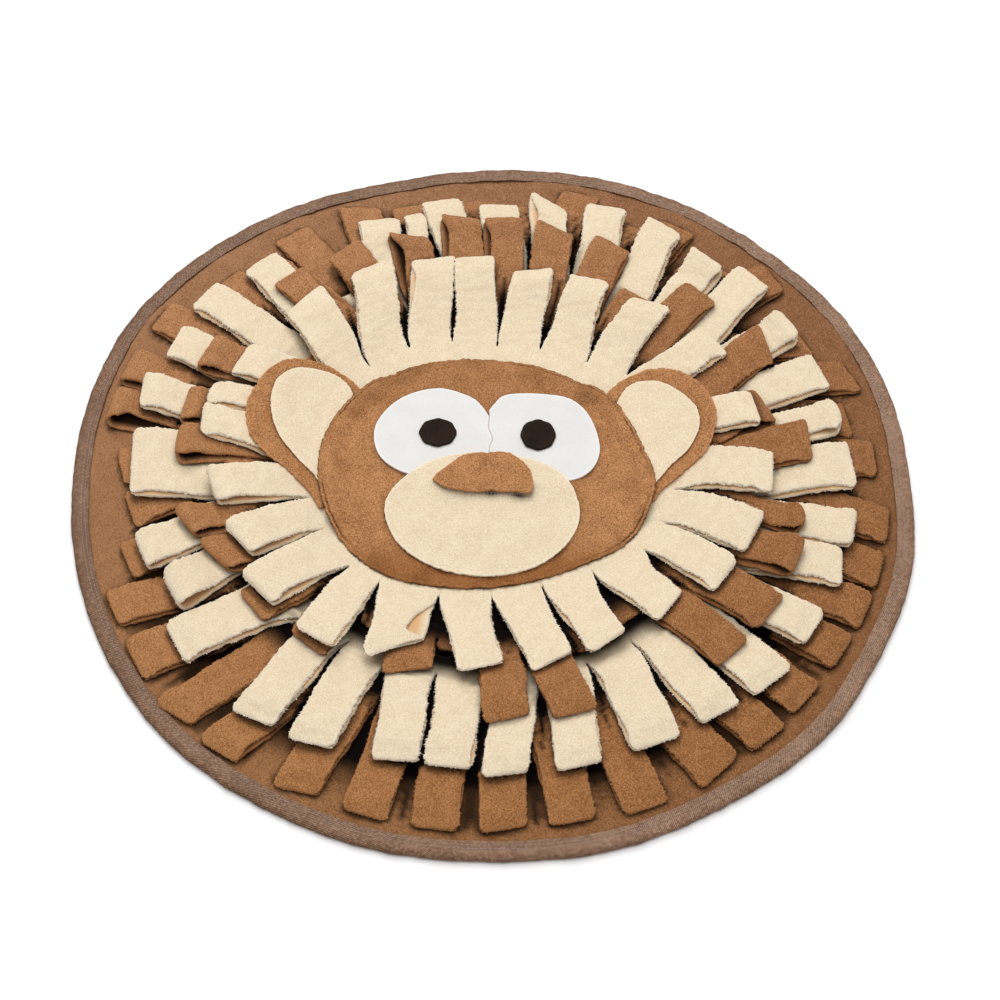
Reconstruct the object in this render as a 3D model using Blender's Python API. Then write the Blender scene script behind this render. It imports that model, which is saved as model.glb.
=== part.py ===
"""Round snuffle mat: a fleece toy in which dry treats are hidden for a pet to find.

A flat fleece disc has a twill tape folded round its edge.  Four rings of folded fleece
loops are sewn to it, each ring lapped over the next one out, and an animal's face with
two ears covers the middle.  The loops lean and lie as unevenly as they were left by hand.

Sizes are in millimetres, and MM turns them into Blender's metres.  A bearing is in
degrees round the middle of the disc, or of the sewn pieces: 0 is +X, 90 is +Y, the far
side, and 270 is the near side.  Seen from there, a loop's left is the higher bearing's.
"""

from dataclasses import dataclass

import bmesh
import bpy
import numpy as np

MM = 0.001
GAP = 0.3                   # between two pieces that touch
WELD = 0.01                 # points closer than this are one point

# The disc and its tape.  EDGE is the distance of the mat's edge from its middle, every
# 15 degrees of bearing from 0.
EDGE = (248, 251, 252, 250.5, 251.5, 250.5, 248, 246, 250.5, 254, 256, 252,
        248, 247.5, 248.5, 250, 249, 249, 248, 250, 249.5, 252.5, 250.5, 251)
EDGE_STEPS = 60
DISC = 2.4                  # thickness of the base fleece
TAPE = 1.0                  # thickness of the tape
TAPE_WIDTH = 10.5           # of each of its two legs
TAPE_ROUND = 1.5            # how far the fold of the tape is rounded, outside
TAPE_HOLLOW = 2.2           # and inside, from the mat's edge
TAPE_WALL = 1.3             # thickness of the fold at the mat's edge
BASE_FLAT = 24.0            # inset within which the disc lies on the floor
BASE_RIM = 14.0             # inset from which it lies on the tape's lower leg

# The fringe and the face are sewn on round a point a little off the disc's middle.
SEWN_MIDDLE = (0.5, 3.0)
LAYER = 2.0                 # one layer of the fringe's fleece
STRIP = 25.0                # width of one strip
SLIT = 1.0                  # width of the slit between two strips at their roots
SEAM_LENGTH = 9.0           # from a loop's root to where its two layers part
FOLD_ROUND = 0.45           # length of the rounded fold, as a share of the loop's depth
FOLD_LAYER = 0.9            # thickness of the cloth at the fold, as a share of one layer
TURN_SHARE = 0.6            # share of its length over which a loop turns square to its fold
STRIP_EASE = 26.0           # distance over which a root widens to the strip's own width

# The face's pieces.
FACE_CROWN = 3.0            # rise of the face's middle over its rim
FACE_EAR_RISE = 4.9         # extra rise of its rim where it lies over an ear
FACE_EAR_START = 0.84       # shares of the way to the rim between which it rises so
FACE_EAR_END = 0.95
EAR_SPANS = ((131.0, 213.0), (-30.0, 50.0))     # bearings at which the rim lies over an ear
EAR_EASE = 10.0             # bearings over which that rise sets in
FELT = 1.6                  # thickness of the eyes and the inner ears
PUPIL = 1.2
MUZZLE = 1.8
EAR_CLEARANCE = 1.0         # of an ear over the loops below it
REST = 0.35                 # gap under a piece that lies on a curved one


@dataclass
class Loop:
    """One folded strip: where its fold lies, and how it departs from its ring."""
    tip: float              # bearing of the middle of the fold
    reach: float            # distance of the fold from the mat's middle
    skew: float = 0.0       # how much further the fold's left corner reaches than its right
    lift: float = 0.0       # extra height of the fold
    gape: float = 0.0       # extra gap between the layers at the fold
    roll: float = 0.0       # how much higher the fold's left corner is than its right
    width: float = STRIP


@dataclass
class Ring:
    """One ring of loops.  slits holds the (bearing, radius) of each slit's inner end."""
    name: str
    colour: tuple
    slits: tuple
    band: float             # width of the uncut fleece inside the slits
    heights: tuple          # rows of (radius, height of the underside, depth of the loop)
    free: tuple             # radii between which a loop's own lift, gape and roll set in
    stations: tuple         # a loop's further points, as shares of its length past the seam
    loops: tuple


# ---------------------------------------------------------------- colours, linear RGB

BROWN = (0.36, 0.17, 0.072)
DARK_BROWN = (0.30, 0.135, 0.056)
CREAM = (0.80, 0.665, 0.48)
TAUPE = (0.29, 0.165, 0.10)
WHITE = (0.84, 0.81, 0.775)
BLACK = (0.022, 0.016, 0.012)


# ---------------------------------------------------------------- plane geometry

def smoothstep(value):
    """Ease from 0 to 1 as value goes from 0 to 1."""
    value = np.clip(value, 0.0, 1.0)
    return value * value * (3.0 - 2.0 * value)


def polar(radius, bearing):
    """Point of the plan at a radius and a bearing."""
    angle = np.radians(bearing)
    return np.stack((radius * np.cos(angle), radius * np.sin(angle)), axis=-1)


def closed_curve(points, count):
    """Smooth closed curve through points (Catmull-Rom), as count evenly spread points."""
    points = np.asarray(points, dtype=float)
    place = np.arange(count) * len(points) / count
    start = place.astype(int)
    t = (place - start)[:, None]
    before, here, after, beyond = (points[(start + k) % len(points)] for k in (-1, 0, 1, 2))
    return 0.5 * (2.0 * here + (after - before) * t
                  + (2.0 * before - 5.0 * here + 4.0 * after - beyond) * t ** 2
                  + (3.0 * here - 3.0 * after + beyond - before) * t ** 3)


def unit(vector):
    return vector / np.linalg.norm(vector)


# ---------------------------------------------------------------- meshes and objects

def cloth_material(name, colour):
    material = bpy.data.materials.new(name)
    material.use_nodes = True
    shader = material.node_tree.nodes["Principled BSDF"]
    shader.inputs["Base Color"].default_value = (*colour, 1.0)
    shader.inputs["Roughness"].default_value = 0.9
    shader.inputs["Metallic"].default_value = 0.0
    return material


def add_object(name, points, faces, colour, collection, middle=(0.0, 0.0), parent=None):
    """Closed body from points in millimetres, with its origin at middle in plan."""
    origin = np.array((*middle, 0.0))
    mesh = bpy.data.meshes.new(name)
    mesh.from_pydata(((np.asarray(points) - origin) * MM).tolist(), [], faces)
    body = bmesh.new()
    body.from_mesh(mesh)
    bmesh.ops.remove_doubles(body, verts=body.verts, dist=WELD * MM)
    bmesh.ops.recalc_face_normals(body, faces=body.faces)
    body.to_mesh(mesh)
    body.free()
    mesh.shade_smooth()
    mesh.set_sharp_from_angle(angle=np.radians(40.0))
    mesh.materials.append(cloth_material(name, colour))
    thing = bpy.data.objects.new(name, mesh)
    thing.location = origin * MM
    thing.parent = parent
    collection.objects.link(thing)


def loft(rows, closed=False):
    """Points and faces of a skin over rows of points.

    Every row has the same number of points, or one point where the skin closes.  A closed
    loft also joins the last row to the first.
    """
    starts = np.cumsum([0] + [len(row) for row in rows])
    count = max(len(row) for row in rows)
    faces = []
    pairs = list(zip(range(len(rows) - 1), range(1, len(rows))))
    if closed:
        pairs.append((len(rows) - 1, 0))
    for low, high in pairs:
        for k in range(count):
            ring = []
            for row, step in ((low, k), (low, k + 1), (high, k + 1), (high, k)):
                point = int(starts[row] + step % len(rows[row]))
                if point not in ring:
                    ring.append(point)
            faces.append(ring)
    return np.concatenate(rows), faces


# ---------------------------------------------------------------- disc and tape

def mat_edge():
    """The mat's outline, moved so that its bounding box is centred on the origin."""
    bearings = np.arange(len(EDGE)) * 360.0 / len(EDGE)
    outline = closed_curve(polar(np.array(EDGE), bearings), EDGE_STEPS)
    return outline - (outline.min(axis=0) + outline.max(axis=0)) / 2.0


def edge_row(outline, inset, height):
    """The outline drawn in by inset, at one height."""
    radius = np.linalg.norm(outline, axis=1, keepdims=True)
    plan = outline * (1.0 - inset / radius)
    return np.column_stack((plan, np.full(len(plan), height)))


def add_base(outline, collection):
    """The disc lies flat, and rises by the tape's lower leg within its rim."""
    lifted = TAPE + GAP
    middle = lifted + DISC / 2.0
    edge = TAPE_WALL + 2.0 * GAP
    side = TAPE_HOLLOW + GAP
    profile = ((BASE_FLAT, 0.0), (BASE_RIM, lifted), (side, lifted), (edge, middle),
               (side, lifted + DISC), (BASE_RIM, lifted + DISC), (BASE_FLAT, DISC))
    rows = [edge_row(outline, inset, height) for inset, height in profile]
    rows = [np.zeros((1, 3))] + rows + [np.array([[0.0, 0.0, DISC]])]
    points, faces = loft(rows)
    add_object("base", points, faces, DARK_BROWN, collection)


def add_binding(outline, collection):
    """Tape folded round the disc's edge, as a C-shaped section with two legs."""
    top = 2.0 * (TAPE + GAP) + DISC
    profile = ((TAPE_WIDTH, 0.0), (TAPE_ROUND, 0.0), (0.0, top / 2.0), (TAPE_ROUND, top),
               (TAPE_WIDTH, top), (TAPE_WIDTH, top - TAPE), (TAPE_HOLLOW, top - TAPE),
               (TAPE_WALL, top / 2.0), (TAPE_HOLLOW, TAPE), (TAPE_WIDTH, TAPE))
    rows = [edge_row(outline, inset, height) for inset, height in profile]
    points, faces = loft(rows, closed=True)
    add_object("binding", points, faces, TAUPE, collection)


# ---------------------------------------------------------------- the rings of loops

def even_slits(first, count, radius):
    return tuple((first - k * 360.0 / count, radius) for k in range(count))


def ring_height(ring, radius):
    """Height of a ring's underside and its depth at a radius."""
    table = np.array(ring.heights)
    return (np.interp(radius, table[:, 0], table[:, 1]),
            np.interp(radius, table[:, 0], table[:, 2]))


def ring_top(ring, radius):
    under, depth = ring_height(ring, radius)
    return under + depth


def root_points(ring, index):
    """Plan of one loop's root: its left and right ends on the slits' inner ends."""
    left_bearing, left_radius = ring.slits[index]
    right_bearing, right_radius = ring.slits[(index + 1) % len(ring.slits)]
    half = np.degrees(SLIT / 2.0 / left_radius)
    return (polar(left_radius, left_bearing - half), polar(right_radius, right_bearing + half))


def loop_edges(ring, index):
    """Both side edges of a loop in plan, with the heights of its layers.

    The middle line is a cubic from the root, square to it, to the fold, between the line
    that joins them and straight out.  Returns for each side the points at its stations,
    and the heights of the underside and the top there.
    """
    loop = ring.loops[index]
    left, right = root_points(ring, index)
    root = (left + right) / 2.0
    across_root = unit(left - right)
    outward = np.array((across_root[1], -across_root[0]))
    tip = polar(loop.reach, loop.tip)
    straight_out = unit(tip)
    across_tip = np.array((-straight_out[1], straight_out[0]))
    length = np.linalg.norm(tip - root)
    along = unit((tip - root) / length + straight_out)

    depth_at_tip = ring_height(ring, loop.reach)[1] + loop.gape
    seam = SEAM_LENGTH / length
    fold = 1.0 - FOLD_ROUND * depth_at_tip / length
    between = [seam + (fold - seam) * share for share in ring.stations]
    t = np.array([0.0, seam, *between, fold, 1.0])[:, None]
    middle = ((2 * t ** 3 - 3 * t ** 2 + 1) * root + (t ** 3 - 2 * t ** 2 + t) * length * outward
              + (3 * t ** 2 - 2 * t ** 3) * tip + (t ** 3 - t ** 2) * length * along)

    turned = smoothstep(t / TURN_SHARE)
    across = (1.0 - turned) * across_root + turned * across_tip
    across /= np.linalg.norm(across, axis=1, keepdims=True)
    root_width = np.linalg.norm(left - right)
    half = (root_width + (loop.width - root_width) * smoothstep(t * length / STRIP_EASE)) / 2.0
    skew = straight_out * (loop.skew / 2.0) * turned

    radius = np.linalg.norm(middle, axis=1)
    loose = smoothstep((radius - ring.free[0]) / (ring.free[1] - ring.free[0]))
    sides = []
    for sign in (1.0, -1.0):
        plan = middle + sign * (across * half + skew)
        under, depth = ring_height(ring, np.linalg.norm(plan, axis=1))
        low = under + (loop.lift + (abs(loop.roll) + sign * loop.roll) / 2.0) * loose
        sides.append((plan, low, low + depth + loop.gape * loose))
    return sides


def edge_chains(plan, low, high):
    """Closed chains round one side edge of a loop: its outside, and the hollow in it."""
    middle = (low + high) / 2.0
    last = len(plan) - 1
    place = np.column_stack
    top = place((plan[:last], high[:last]))
    bottom = place((plan[:last], low[:last]))
    fold = np.append(plan[last], middle[last])
    outside = np.vstack((top, fold, bottom[::-1]))

    inward = unit(plan[last] - plan[last - 1])
    inner_fold = np.append(plan[last] - inward * LAYER * FOLD_LAYER, middle[last])
    start = np.append(plan[1], middle[1])
    inner_top = place((plan[2:last], high[2:last] - LAYER))
    inner_bottom = place((plan[2:last], low[2:last] + LAYER))
    hollow = np.vstack((start, inner_top, inner_fold, inner_bottom[::-1]))
    return outside, hollow


def loop_mesh(ring, index):
    """Points and faces of one loop, open only at its root."""
    (left_out, left_in), (right_out, right_in) = (
        edge_chains(*side) for side in loop_edges(ring, index))
    outer, inner = len(left_out), len(left_in)
    points = np.vstack((left_out, left_in, right_out, right_in))
    far = outer + inner                     # first point of the right side
    faces = []
    for k in range(outer - 1):
        faces.append((k, k + 1, far + k + 1, far + k))
    for k in range(inner):
        after = outer + (k + 1) % inner
        faces.append((outer + k, after, far + after, far + outer + k))
    # The side edge: from the root to where the layers part, then layer by layer.
    for first in (0, far):
        hollow = first + outer
        faces.append((first, first + 1, hollow))
        faces.append((first, hollow, first + outer - 1))
        faces.append((first + outer - 1, hollow, first + outer - 2))
        for k in range(1, outer - 2):
            faces.append((first + k, first + k + 1, hollow + k % inner, hollow + k - 1))
    return points, faces


def band_mesh(ring):
    """Points and faces of the uncut fleece inside the slits, open at the loops' roots."""
    corners = np.array([root_points(ring, index) for index in range(len(ring.loops))])
    corners = corners.reshape(-1, 2)
    radius = np.linalg.norm(corners, axis=1)
    inner = corners * (1.0 - ring.band / radius)[:, None]
    under, depth = ring_height(ring, radius)
    inner_under, inner_depth = ring_height(ring, radius - ring.band)
    rows = [np.column_stack(row) for row in (
        (corners, under), (inner, inner_under),
        (inner, inner_under + inner_depth), (corners, under + depth))]
    points, faces = loft(rows)
    count = len(corners)
    top = 3 * count
    # The outer wall closes only the slits, between one loop's right and the next's left.
    for k in range(1, count, 2):
        after = (k + 1) % count
        faces.append((k, after, top + after, top + k))
    return points, faces


def add_ring(ring, collection, parent):
    points, faces = band_mesh(ring)
    all_points = [points]
    start = len(points)
    for index in range(len(ring.loops)):
        points, loop_faces = loop_mesh(ring, index)
        faces += [tuple(start + k for k in face) for face in loop_faces]
        all_points.append(points)
        start += len(points)
    add_object(ring.name, np.vstack(all_points), faces, ring.colour, collection,
               parent=parent)


OUTER_BROWN = Ring(
    name="fringe_outer_brown", colour=BROWN, slits=even_slits(313.1, 39, 163.0), band=11.0,
    heights=((152, 2.7, 4.2), (163, 2.7, 4.2), (188, 2.7, 5.0), (215, 2.8, 5.2),
             (231, 4.1, 5.4), (242, 4.4, 5.4)),
    free=(214.0, 232.0), stations=(0.55,),
    loops=(
        Loop(309.9, 235), Loop(301, 235, skew=-6), Loop(290.4, 237), Loop(280.6, 234),
        Loop(271.5, 234.5, skew=-3), Loop(262.5, 236), Loop(253.3, 236),
        Loop(243.4, 236.5, skew=-5), Loop(231.8, 239, lift=1), Loop(223.4, 239),
        Loop(214.2, 237.5), Loop(204.5, 236), Loop(196.5, 218), Loop(188, 214),
        Loop(178.8, 222, gape=3), Loop(169.3, 234, gape=6), Loop(161.3, 236, roll=2),
        Loop(150.4, 238), Loop(138.8, 224), Loop(131.6, 212), Loop(124.7, 227),
        Loop(112.6, 224, skew=9), Loop(104, 214), Loop(92.5, 214), Loop(84, 212),
        Loop(75.3, 229), Loop(66, 214), Loop(58, 227), Loop(48.5, 215),
        Loop(40, 233, skew=4), Loop(26.8, 217), Loop(17.5, 231, skew=-3), Loop(9.8, 218),
        Loop(2, 228), Loop(350, 234), Loop(342, 234), Loop(334.8, 234), Loop(327.2, 233),
        Loop(318, 233),
    ))

OUTER_CREAM = Ring(
    name="fringe_outer_cream", colour=CREAM, slits=even_slits(311.0, 36, 143.0), band=11.0,
    heights=((132, 2.7, 4.2), (143, 3.0, 4.2), (152, 7.5, 4.4), (163, 8.3, 5.2),
             (188, 10.5, 5.4), (220, 12.6, 5.8)),
    free=(192.0, 212.0), stations=(0.3, 0.62),
    loops=(
        Loop(306.4, 210, skew=2), Loop(296, 208), Loop(283.2, 209), Loop(272, 206, skew=-2),
        Loop(263.3, 206), Loop(255.6, 207, skew=-4), Loop(243, 213.5, skew=-5),
        Loop(234, 217, skew=-5), Loop(226, 163), Loop(217, 216.5, skew=3),
        Loop(207.8, 202, gape=8), Loop(198.8, 210, skew=-2), Loop(185.4, 211.5),
        Loop(178.6, 212.5, lift=1), Loop(167.6, 215, skew=-4, lift=3),
        Loop(156.2, 213, skew=-2), Loop(146, 218), Loop(134.9, 210), Loop(126, 160),
        Loop(110.9, 203, skew=5), Loop(104.6, 198, width=13), Loop(99, 206, lift=2),
        Loop(88.8, 201), Loop(79.4, 206, skew=8, roll=4), Loop(69.6, 212),
        Loop(59.2, 214, skew=4), Loop(48.5, 206, gape=5, roll=3), Loop(40.6, 214),
        Loop(28.6, 210, gape=4), Loop(18.8, 211), Loop(8.5, 210, gape=3),
        Loop(-1.4, 212), Loop(346.8, 213.5), Loop(339.2, 212.5, skew=-4),
        Loop(327.4, 214), Loop(315.4, 214),
    ))

INNER_BROWN = Ring(
    name="fringe_inner_brown", colour=BROWN, slits=even_slits(320.95, 33, 121.0), band=8.0,
    heights=((112, 2.7, 4.2), (120, 3.6, 4.2), (132, 8.2, 4.4), (143, 11.0, 4.8),
             (152, 13.1, 5.2), (163, 14.7, 5.4), (190, 17.2, 5.8)),
    free=(176.0, 190.0), stations=(0.3, 0.62),
    loops=(
        Loop(314.8, 189), Loop(305.4, 138, width=22), Loop(294, 138, width=23), Loop(284.8, 177),
        Loop(272.6, 177.5, skew=-4), Loop(261, 138, width=22), Loop(251.6, 154, skew=-8),
        Loop(240.5, 140), Loop(231, 164), Loop(218.9, 171), Loop(205, 173, skew=-8),
        Loop(194.9, 185, gape=6), Loop(185.5, 158), Loop(177.6, 186, gape=5),
        Loop(169, 187, gape=2), Loop(156.5, 190, gape=4), Loop(141, 138, width=22),
        Loop(132, 186, lift=1), Loop(120, 187, skew=-4, lift=1),
        Loop(107.5, 178, skew=12, gape=5), Loop(96.3, 187, skew=6, gape=2),
        Loop(87.8, 185, gape=2), Loop(77.3, 185, skew=8), Loop(65.2, 184, skew=5),
        Loop(54.5, 156, width=22), Loop(44, 178), Loop(33, 136, width=19),
        Loop(26.7, 185, skew=6, roll=3, width=28), Loop(12.5, 167, skew=-5),
        Loop(3.3, 187, roll=3), Loop(345.8, 185, gape=3), Loop(337, 189, gape=3),
        Loop(325.6, 189),
    ))

INNER_CREAM = Ring(
    name="fringe_inner_cream", colour=CREAM,
    slits=((325.5, 107), (308, 94), (289, 88), (270, 90), (251.5, 95), (232, 104),
           (220, 108), (205, 108), (192.5, 109), (181, 109), (169.5, 109), (158, 109),
           (146.5, 109), (135, 106), (119.5, 103), (104.5, 98), (88, 92), (71.5, 94),
           (53.5, 98), (39.5, 107), (23, 109), (7, 109), (350.5, 109), (337.5, 108)),
    band=24.0,
    heights=((66, 2.7, 4.2), (92, 4.8, 4.2), (108, 7.1, 4.2), (112, 8.2, 4.3),
             (120, 10.6, 4.6), (132, 14.4, 5.2), (143, 17.6, 5.4), (152, 20.0, 5.6),
             (163, 21.8, 5.8), (178, 23.2, 5.8)),
    free=(118.0, 150.0), stations=(0.3, 0.62),
    loops=(
        Loop(313.3, 144), Loop(296.8, 142.5, skew=-4), Loop(283.4, 144, skew=-7),
        Loop(267.6, 144, skew=-7, lift=1), Loop(247.8, 144, skew=-14, roll=-3),
        Loop(232.2, 160.5, skew=-2, lift=1), Loop(216.9, 162, skew=1, gape=2),
        Loop(204, 157, skew=-3, gape=3), Loop(189, 164.5, skew=-4, gape=2),
        Loop(172.6, 174), Loop(165.2, 176, width=18), Loop(155.4, 169.5),
        Loop(136.2, 165, skew=-4), Loop(118.2, 161, skew=-6), Loop(104.4, 155),
        Loop(94.2, 153), Loop(79.6, 146, skew=-6), Loop(65.6, 148.5, skew=-3, lift=1),
        Loop(49.3, 149, skew=-10, lift=1), Loop(31.7, 160.5), Loop(12.6, 161),
        Loop(354.6, 164.5, skew=-5, lift=1), Loop(337.8, 162, skew=-1, roll=2),
        Loop(325.2, 158.5, skew=-3, lift=2),
    ))


# ---------------------------------------------------------------- the face

FACE = closed_curve(
    ((95.5, -19), (89, 12), (74, 44), (49, 65), (20, 77), (-20, 80), (-55, 71), (-84, 47),
     (-100, 15), (-101, -19), (-89, -52), (-63, -77), (-25, -86), (12, -84), (49, -72),
     (81, -53)), 64)
FACE_MIDDLE = (-3.0, -4.0)

LEFT_EAR = ((-79, 53), (-93, 66), (-109, 70), (-124, 68), (-135, 58.5), (-141, 47),
            (-145.5, 34), (-145, 21), (-140.5, 8.5), (-130, -2), (-121, -7.5), (-108, -20),
            (-99, -33), (-96, -18), (-96.5, 8), (-87, 36))
RIGHT_EAR = ((69, 50), (80, 62), (97, 67), (115, 61), (128.5, 46), (133.5, 27), (127, 5),
             (113, -8), (100, -19), (93.5, -27), (91, -12), (86, 10), (76.5, 33))
LEFT_INNER_EAR = ((-86, 54), (-95, 64), (-105.5, 65.5), (-118, 63.5), (-128, 54.5),
                  (-133, 43), (-134, 31), (-131, 18), (-125.5, 7.5), (-115, -4),
                  (-106, -13), (-102, -19), (-97.5, -10), (-97, 10), (-89, 36))
RIGHT_INNER_EAR = ((75, 42), (81, 54), (90, 58.5), (102, 56), (113, 47), (122, 34),
                   (123, 20), (116, 6), (106, -3), (98, -13), (93.5, -16), (90, -4), (85, 15),
                   (78, 30))
LEFT_EYE = ((-33, 54), (-55, 46), (-69, 26), (-67, 4), (-52, -10), (-30, -14), (-6, -10),
            (0, 10), (-1, 34), (-12, 48))
RIGHT_EYE = ((10, 50), (31, 50), (48, 46), (59, 32), (64, 9), (58, -8), (44, -16),
             (20, -15), (0, -8), (-5, 10), (-4, 34), (1, 44))
EYE_SEAM = -2.6             # the eyes meet along this straight line in X
PUPILS = {"pupil_left": ((-32.0, 18.5), 11.0, 10.6), "pupil_right": ((27.5, 17.5), 10.4, 11.4)}
MUZZLE_OUTLINE = ((-6, 3), (-36, -4), (-57, -22), (-62, -38), (-53, -60), (-31, -75),
                  (-2, -80), (26, -73), (45, -56), (51, -36), (43, -15), (24, -2))
NOSE = ((-5, 3.5), (-21, -1), (-30, -8), (-34, -17), (-29, -24), (-14, -26.5), (0, -26),
        (12, -27), (21, -28.5), (24, -22), (22, -11), (16, -3), (8, 2))
NOSE_LIP = 2.5              # how far the nose's loose lower edge stands up


def sheet_mesh(outline, middle, shares, under, thickness):
    """Points and faces of a sheet over an outline, lying at the height under(x, y)."""
    middle = np.array(middle)
    plans = [middle[None]] + [middle + (outline - middle) * share for share in shares]
    lower = [np.column_stack((plan, under(plan))) for plan in plans]
    upper = [row + np.array((0.0, 0.0, thickness)) for row in reversed(lower)]
    return loft(lower + upper)


def face_place(plan):
    """Each point's share of the way from the face's middle to its rim, and that rim point."""
    offset = plan - np.array(FACE_MIDDLE)
    rim = FACE - np.array(FACE_MIDDLE)
    rim_angle = np.arctan2(rim[:, 1], rim[:, 0])
    order = np.argsort(rim_angle)
    angle = np.arctan2(offset[:, 1], offset[:, 0])
    radius = np.interp(angle, rim_angle[order], np.linalg.norm(rim, axis=1)[order],
                       period=2.0 * np.pi)
    share = np.linalg.norm(offset, axis=1) / radius
    return share, np.array(FACE_MIDDLE) + offset / np.maximum(share, 1e-6)[:, None]


def face_under(plan):
    """The face rests on the inner ring, rises over the ears, and is a little crowned."""
    share, rim = face_place(plan)
    bearing = np.degrees(np.arctan2(rim[:, 1], rim[:, 0]))
    over_ear = 0.0
    for first, last in EAR_SPANS:
        past_first = (bearing - first) % 360.0
        over_ear += (smoothstep(past_first / EAR_EASE)
                     * smoothstep((last - first - past_first) / EAR_EASE))
    over_ear *= smoothstep((share - FACE_EAR_START) / (FACE_EAR_END - FACE_EAR_START))
    rest = ring_top(INNER_CREAM, np.linalg.norm(rim, axis=1)) + 2.0 * REST
    return rest + FACE_EAR_RISE * over_ear + FACE_CROWN * (1.0 - np.minimum(share, 1.0) ** 2)


def ear_under(plan):
    return ring_top(INNER_CREAM, np.linalg.norm(plan, axis=1)) + EAR_CLEARANCE


def inner_ear_under(plan):
    return ear_under(plan) + LAYER + REST


def eye_under(plan):
    return face_under(plan) + LAYER + REST


def pupil_under(plan):
    return eye_under(plan) + FELT + REST


def muzzle_under(plan):
    """The muzzle lies on the face, and on the eyes' lower edges further up."""
    over_eyes = smoothstep((plan[:, 1] + 34.0) / 16.0)
    return face_under(plan) + LAYER + REST + (FELT + 2.0 * REST) * over_eyes


def nose_under(plan):
    """The nose is sewn along its top, and its lower edge stands up."""
    loose = smoothstep((-10.0 - plan[:, 1]) / 18.0)
    return muzzle_under(plan) + MUZZLE + 2.0 * REST + NOSE_LIP * loose


def add_face(collection, parent):
    """The face, its ears and the features sewn to it, one sheet each."""
    def add(name, outline, middle, shares, under, thickness, colour):
        points, faces = sheet_mesh(outline, middle, shares, under, thickness)
        add_object(name, points, faces, colour, collection, middle, parent)

    shares = (FACE_EAR_START / 2.0, FACE_EAR_START, FACE_EAR_END, 1.0)
    add("face", FACE, FACE_MIDDLE, shares, face_under, LAYER, BROWN)
    for name, outer, inner, middle in (
            ("left", LEFT_EAR, LEFT_INNER_EAR, (-115.0, 25.0)),
            ("right", RIGHT_EAR, RIGHT_INNER_EAR, (105.0, 28.0))):
        add("ear_" + name, closed_curve(outer, 32), middle, (0.45, 0.75, 1.0),
            ear_under, LAYER, BROWN)
        add("inner_ear_" + name, closed_curve(inner, 32), middle, (0.5, 1.0),
            inner_ear_under, FELT, CREAM)

    left_eye = closed_curve(LEFT_EYE, 32)
    left_eye[:, 0] = np.minimum(left_eye[:, 0], EYE_SEAM - GAP / 2.0)
    right_eye = closed_curve(RIGHT_EYE, 32)
    right_eye[:, 0] = np.maximum(right_eye[:, 0], EYE_SEAM + GAP / 2.0)
    add("eye_left", left_eye, (-36.0, 20.0), (0.5, 1.0), eye_under, FELT, WHITE)
    add("eye_right", right_eye, (31.0, 18.0), (0.5, 1.0), eye_under, FELT, WHITE)
    for name, (middle, half_width, half_height) in PUPILS.items():
        turn = np.linspace(0.0, 2.0 * np.pi, 18, endpoint=False)
        outline = np.array(middle) + np.column_stack(
            (half_width * np.cos(turn), half_height * np.sin(turn)))
        add(name, outline, middle, (1.0,), pupil_under, PUPIL, BLACK)
    add("muzzle", closed_curve(MUZZLE_OUTLINE, 40), (-5.0, -38.0), (0.4, 0.75, 1.0),
        muzzle_under, MUZZLE, CREAM)
    add("nose", closed_curve(NOSE, 28), (-5.0, -13.0), (0.5, 1.0), nose_under, LAYER, BROWN)


# ---------------------------------------------------------------- assembly

def build():
    for thing in list(bpy.data.objects):
        bpy.data.objects.remove(thing)
    collection = bpy.data.collections.new("snuffle_mat")
    bpy.context.scene.collection.children.link(collection)
    outline = mat_edge()
    add_base(outline, collection)
    add_binding(outline, collection)
    sewn = bpy.data.objects.new("sewn_middle", None)
    sewn.location = np.array((*SEWN_MIDDLE, 0.0)) * MM
    collection.objects.link(sewn)
    for ring in (OUTER_BROWN, OUTER_CREAM, INNER_BROWN, INNER_CREAM):
        add_ring(ring, collection, sewn)
    add_face(collection, sewn)


build()
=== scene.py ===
"""Round snuffle mat: the looks of its fleece, felt, tape and thread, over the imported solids.

Sizes are in millimetres, and MM turns them into Blender's metres.  A bearing is in degrees
round the sewn middle: 0 is +X, 90 is +Y, the far side, and 270 is the near side.  Seen from
there, a strip's left is the higher bearing's.
"""

from dataclasses import dataclass

import bmesh
import bpy
import numpy as np
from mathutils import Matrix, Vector


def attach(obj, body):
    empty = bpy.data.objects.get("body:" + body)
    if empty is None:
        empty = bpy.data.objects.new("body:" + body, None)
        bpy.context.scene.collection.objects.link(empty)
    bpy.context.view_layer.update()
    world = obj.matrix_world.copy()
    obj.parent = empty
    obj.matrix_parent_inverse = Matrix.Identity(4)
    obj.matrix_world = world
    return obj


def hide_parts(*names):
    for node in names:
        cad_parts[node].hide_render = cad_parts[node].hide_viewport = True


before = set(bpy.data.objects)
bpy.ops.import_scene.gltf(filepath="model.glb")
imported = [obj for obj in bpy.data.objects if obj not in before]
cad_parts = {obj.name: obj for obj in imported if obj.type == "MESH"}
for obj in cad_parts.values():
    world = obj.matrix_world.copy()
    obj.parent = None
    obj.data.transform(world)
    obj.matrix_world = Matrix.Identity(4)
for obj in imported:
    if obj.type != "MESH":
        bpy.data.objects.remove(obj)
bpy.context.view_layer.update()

MM = 0.001


# ---------------------------------------------------------------- camera, light and floor
# The mat lies on a plain white floor under a large soft lamp beyond it, in an even white
# surround.  The camera stands on the near side and looks down at 54.5 degrees.

CAMERA_ELEVATION = np.radians(54.5)
CAMERA_DISTANCE = 1250.0
LOOK_AT = (0.5, 3.0)
WHITE = (1.0, 1.0, 1.0)

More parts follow.
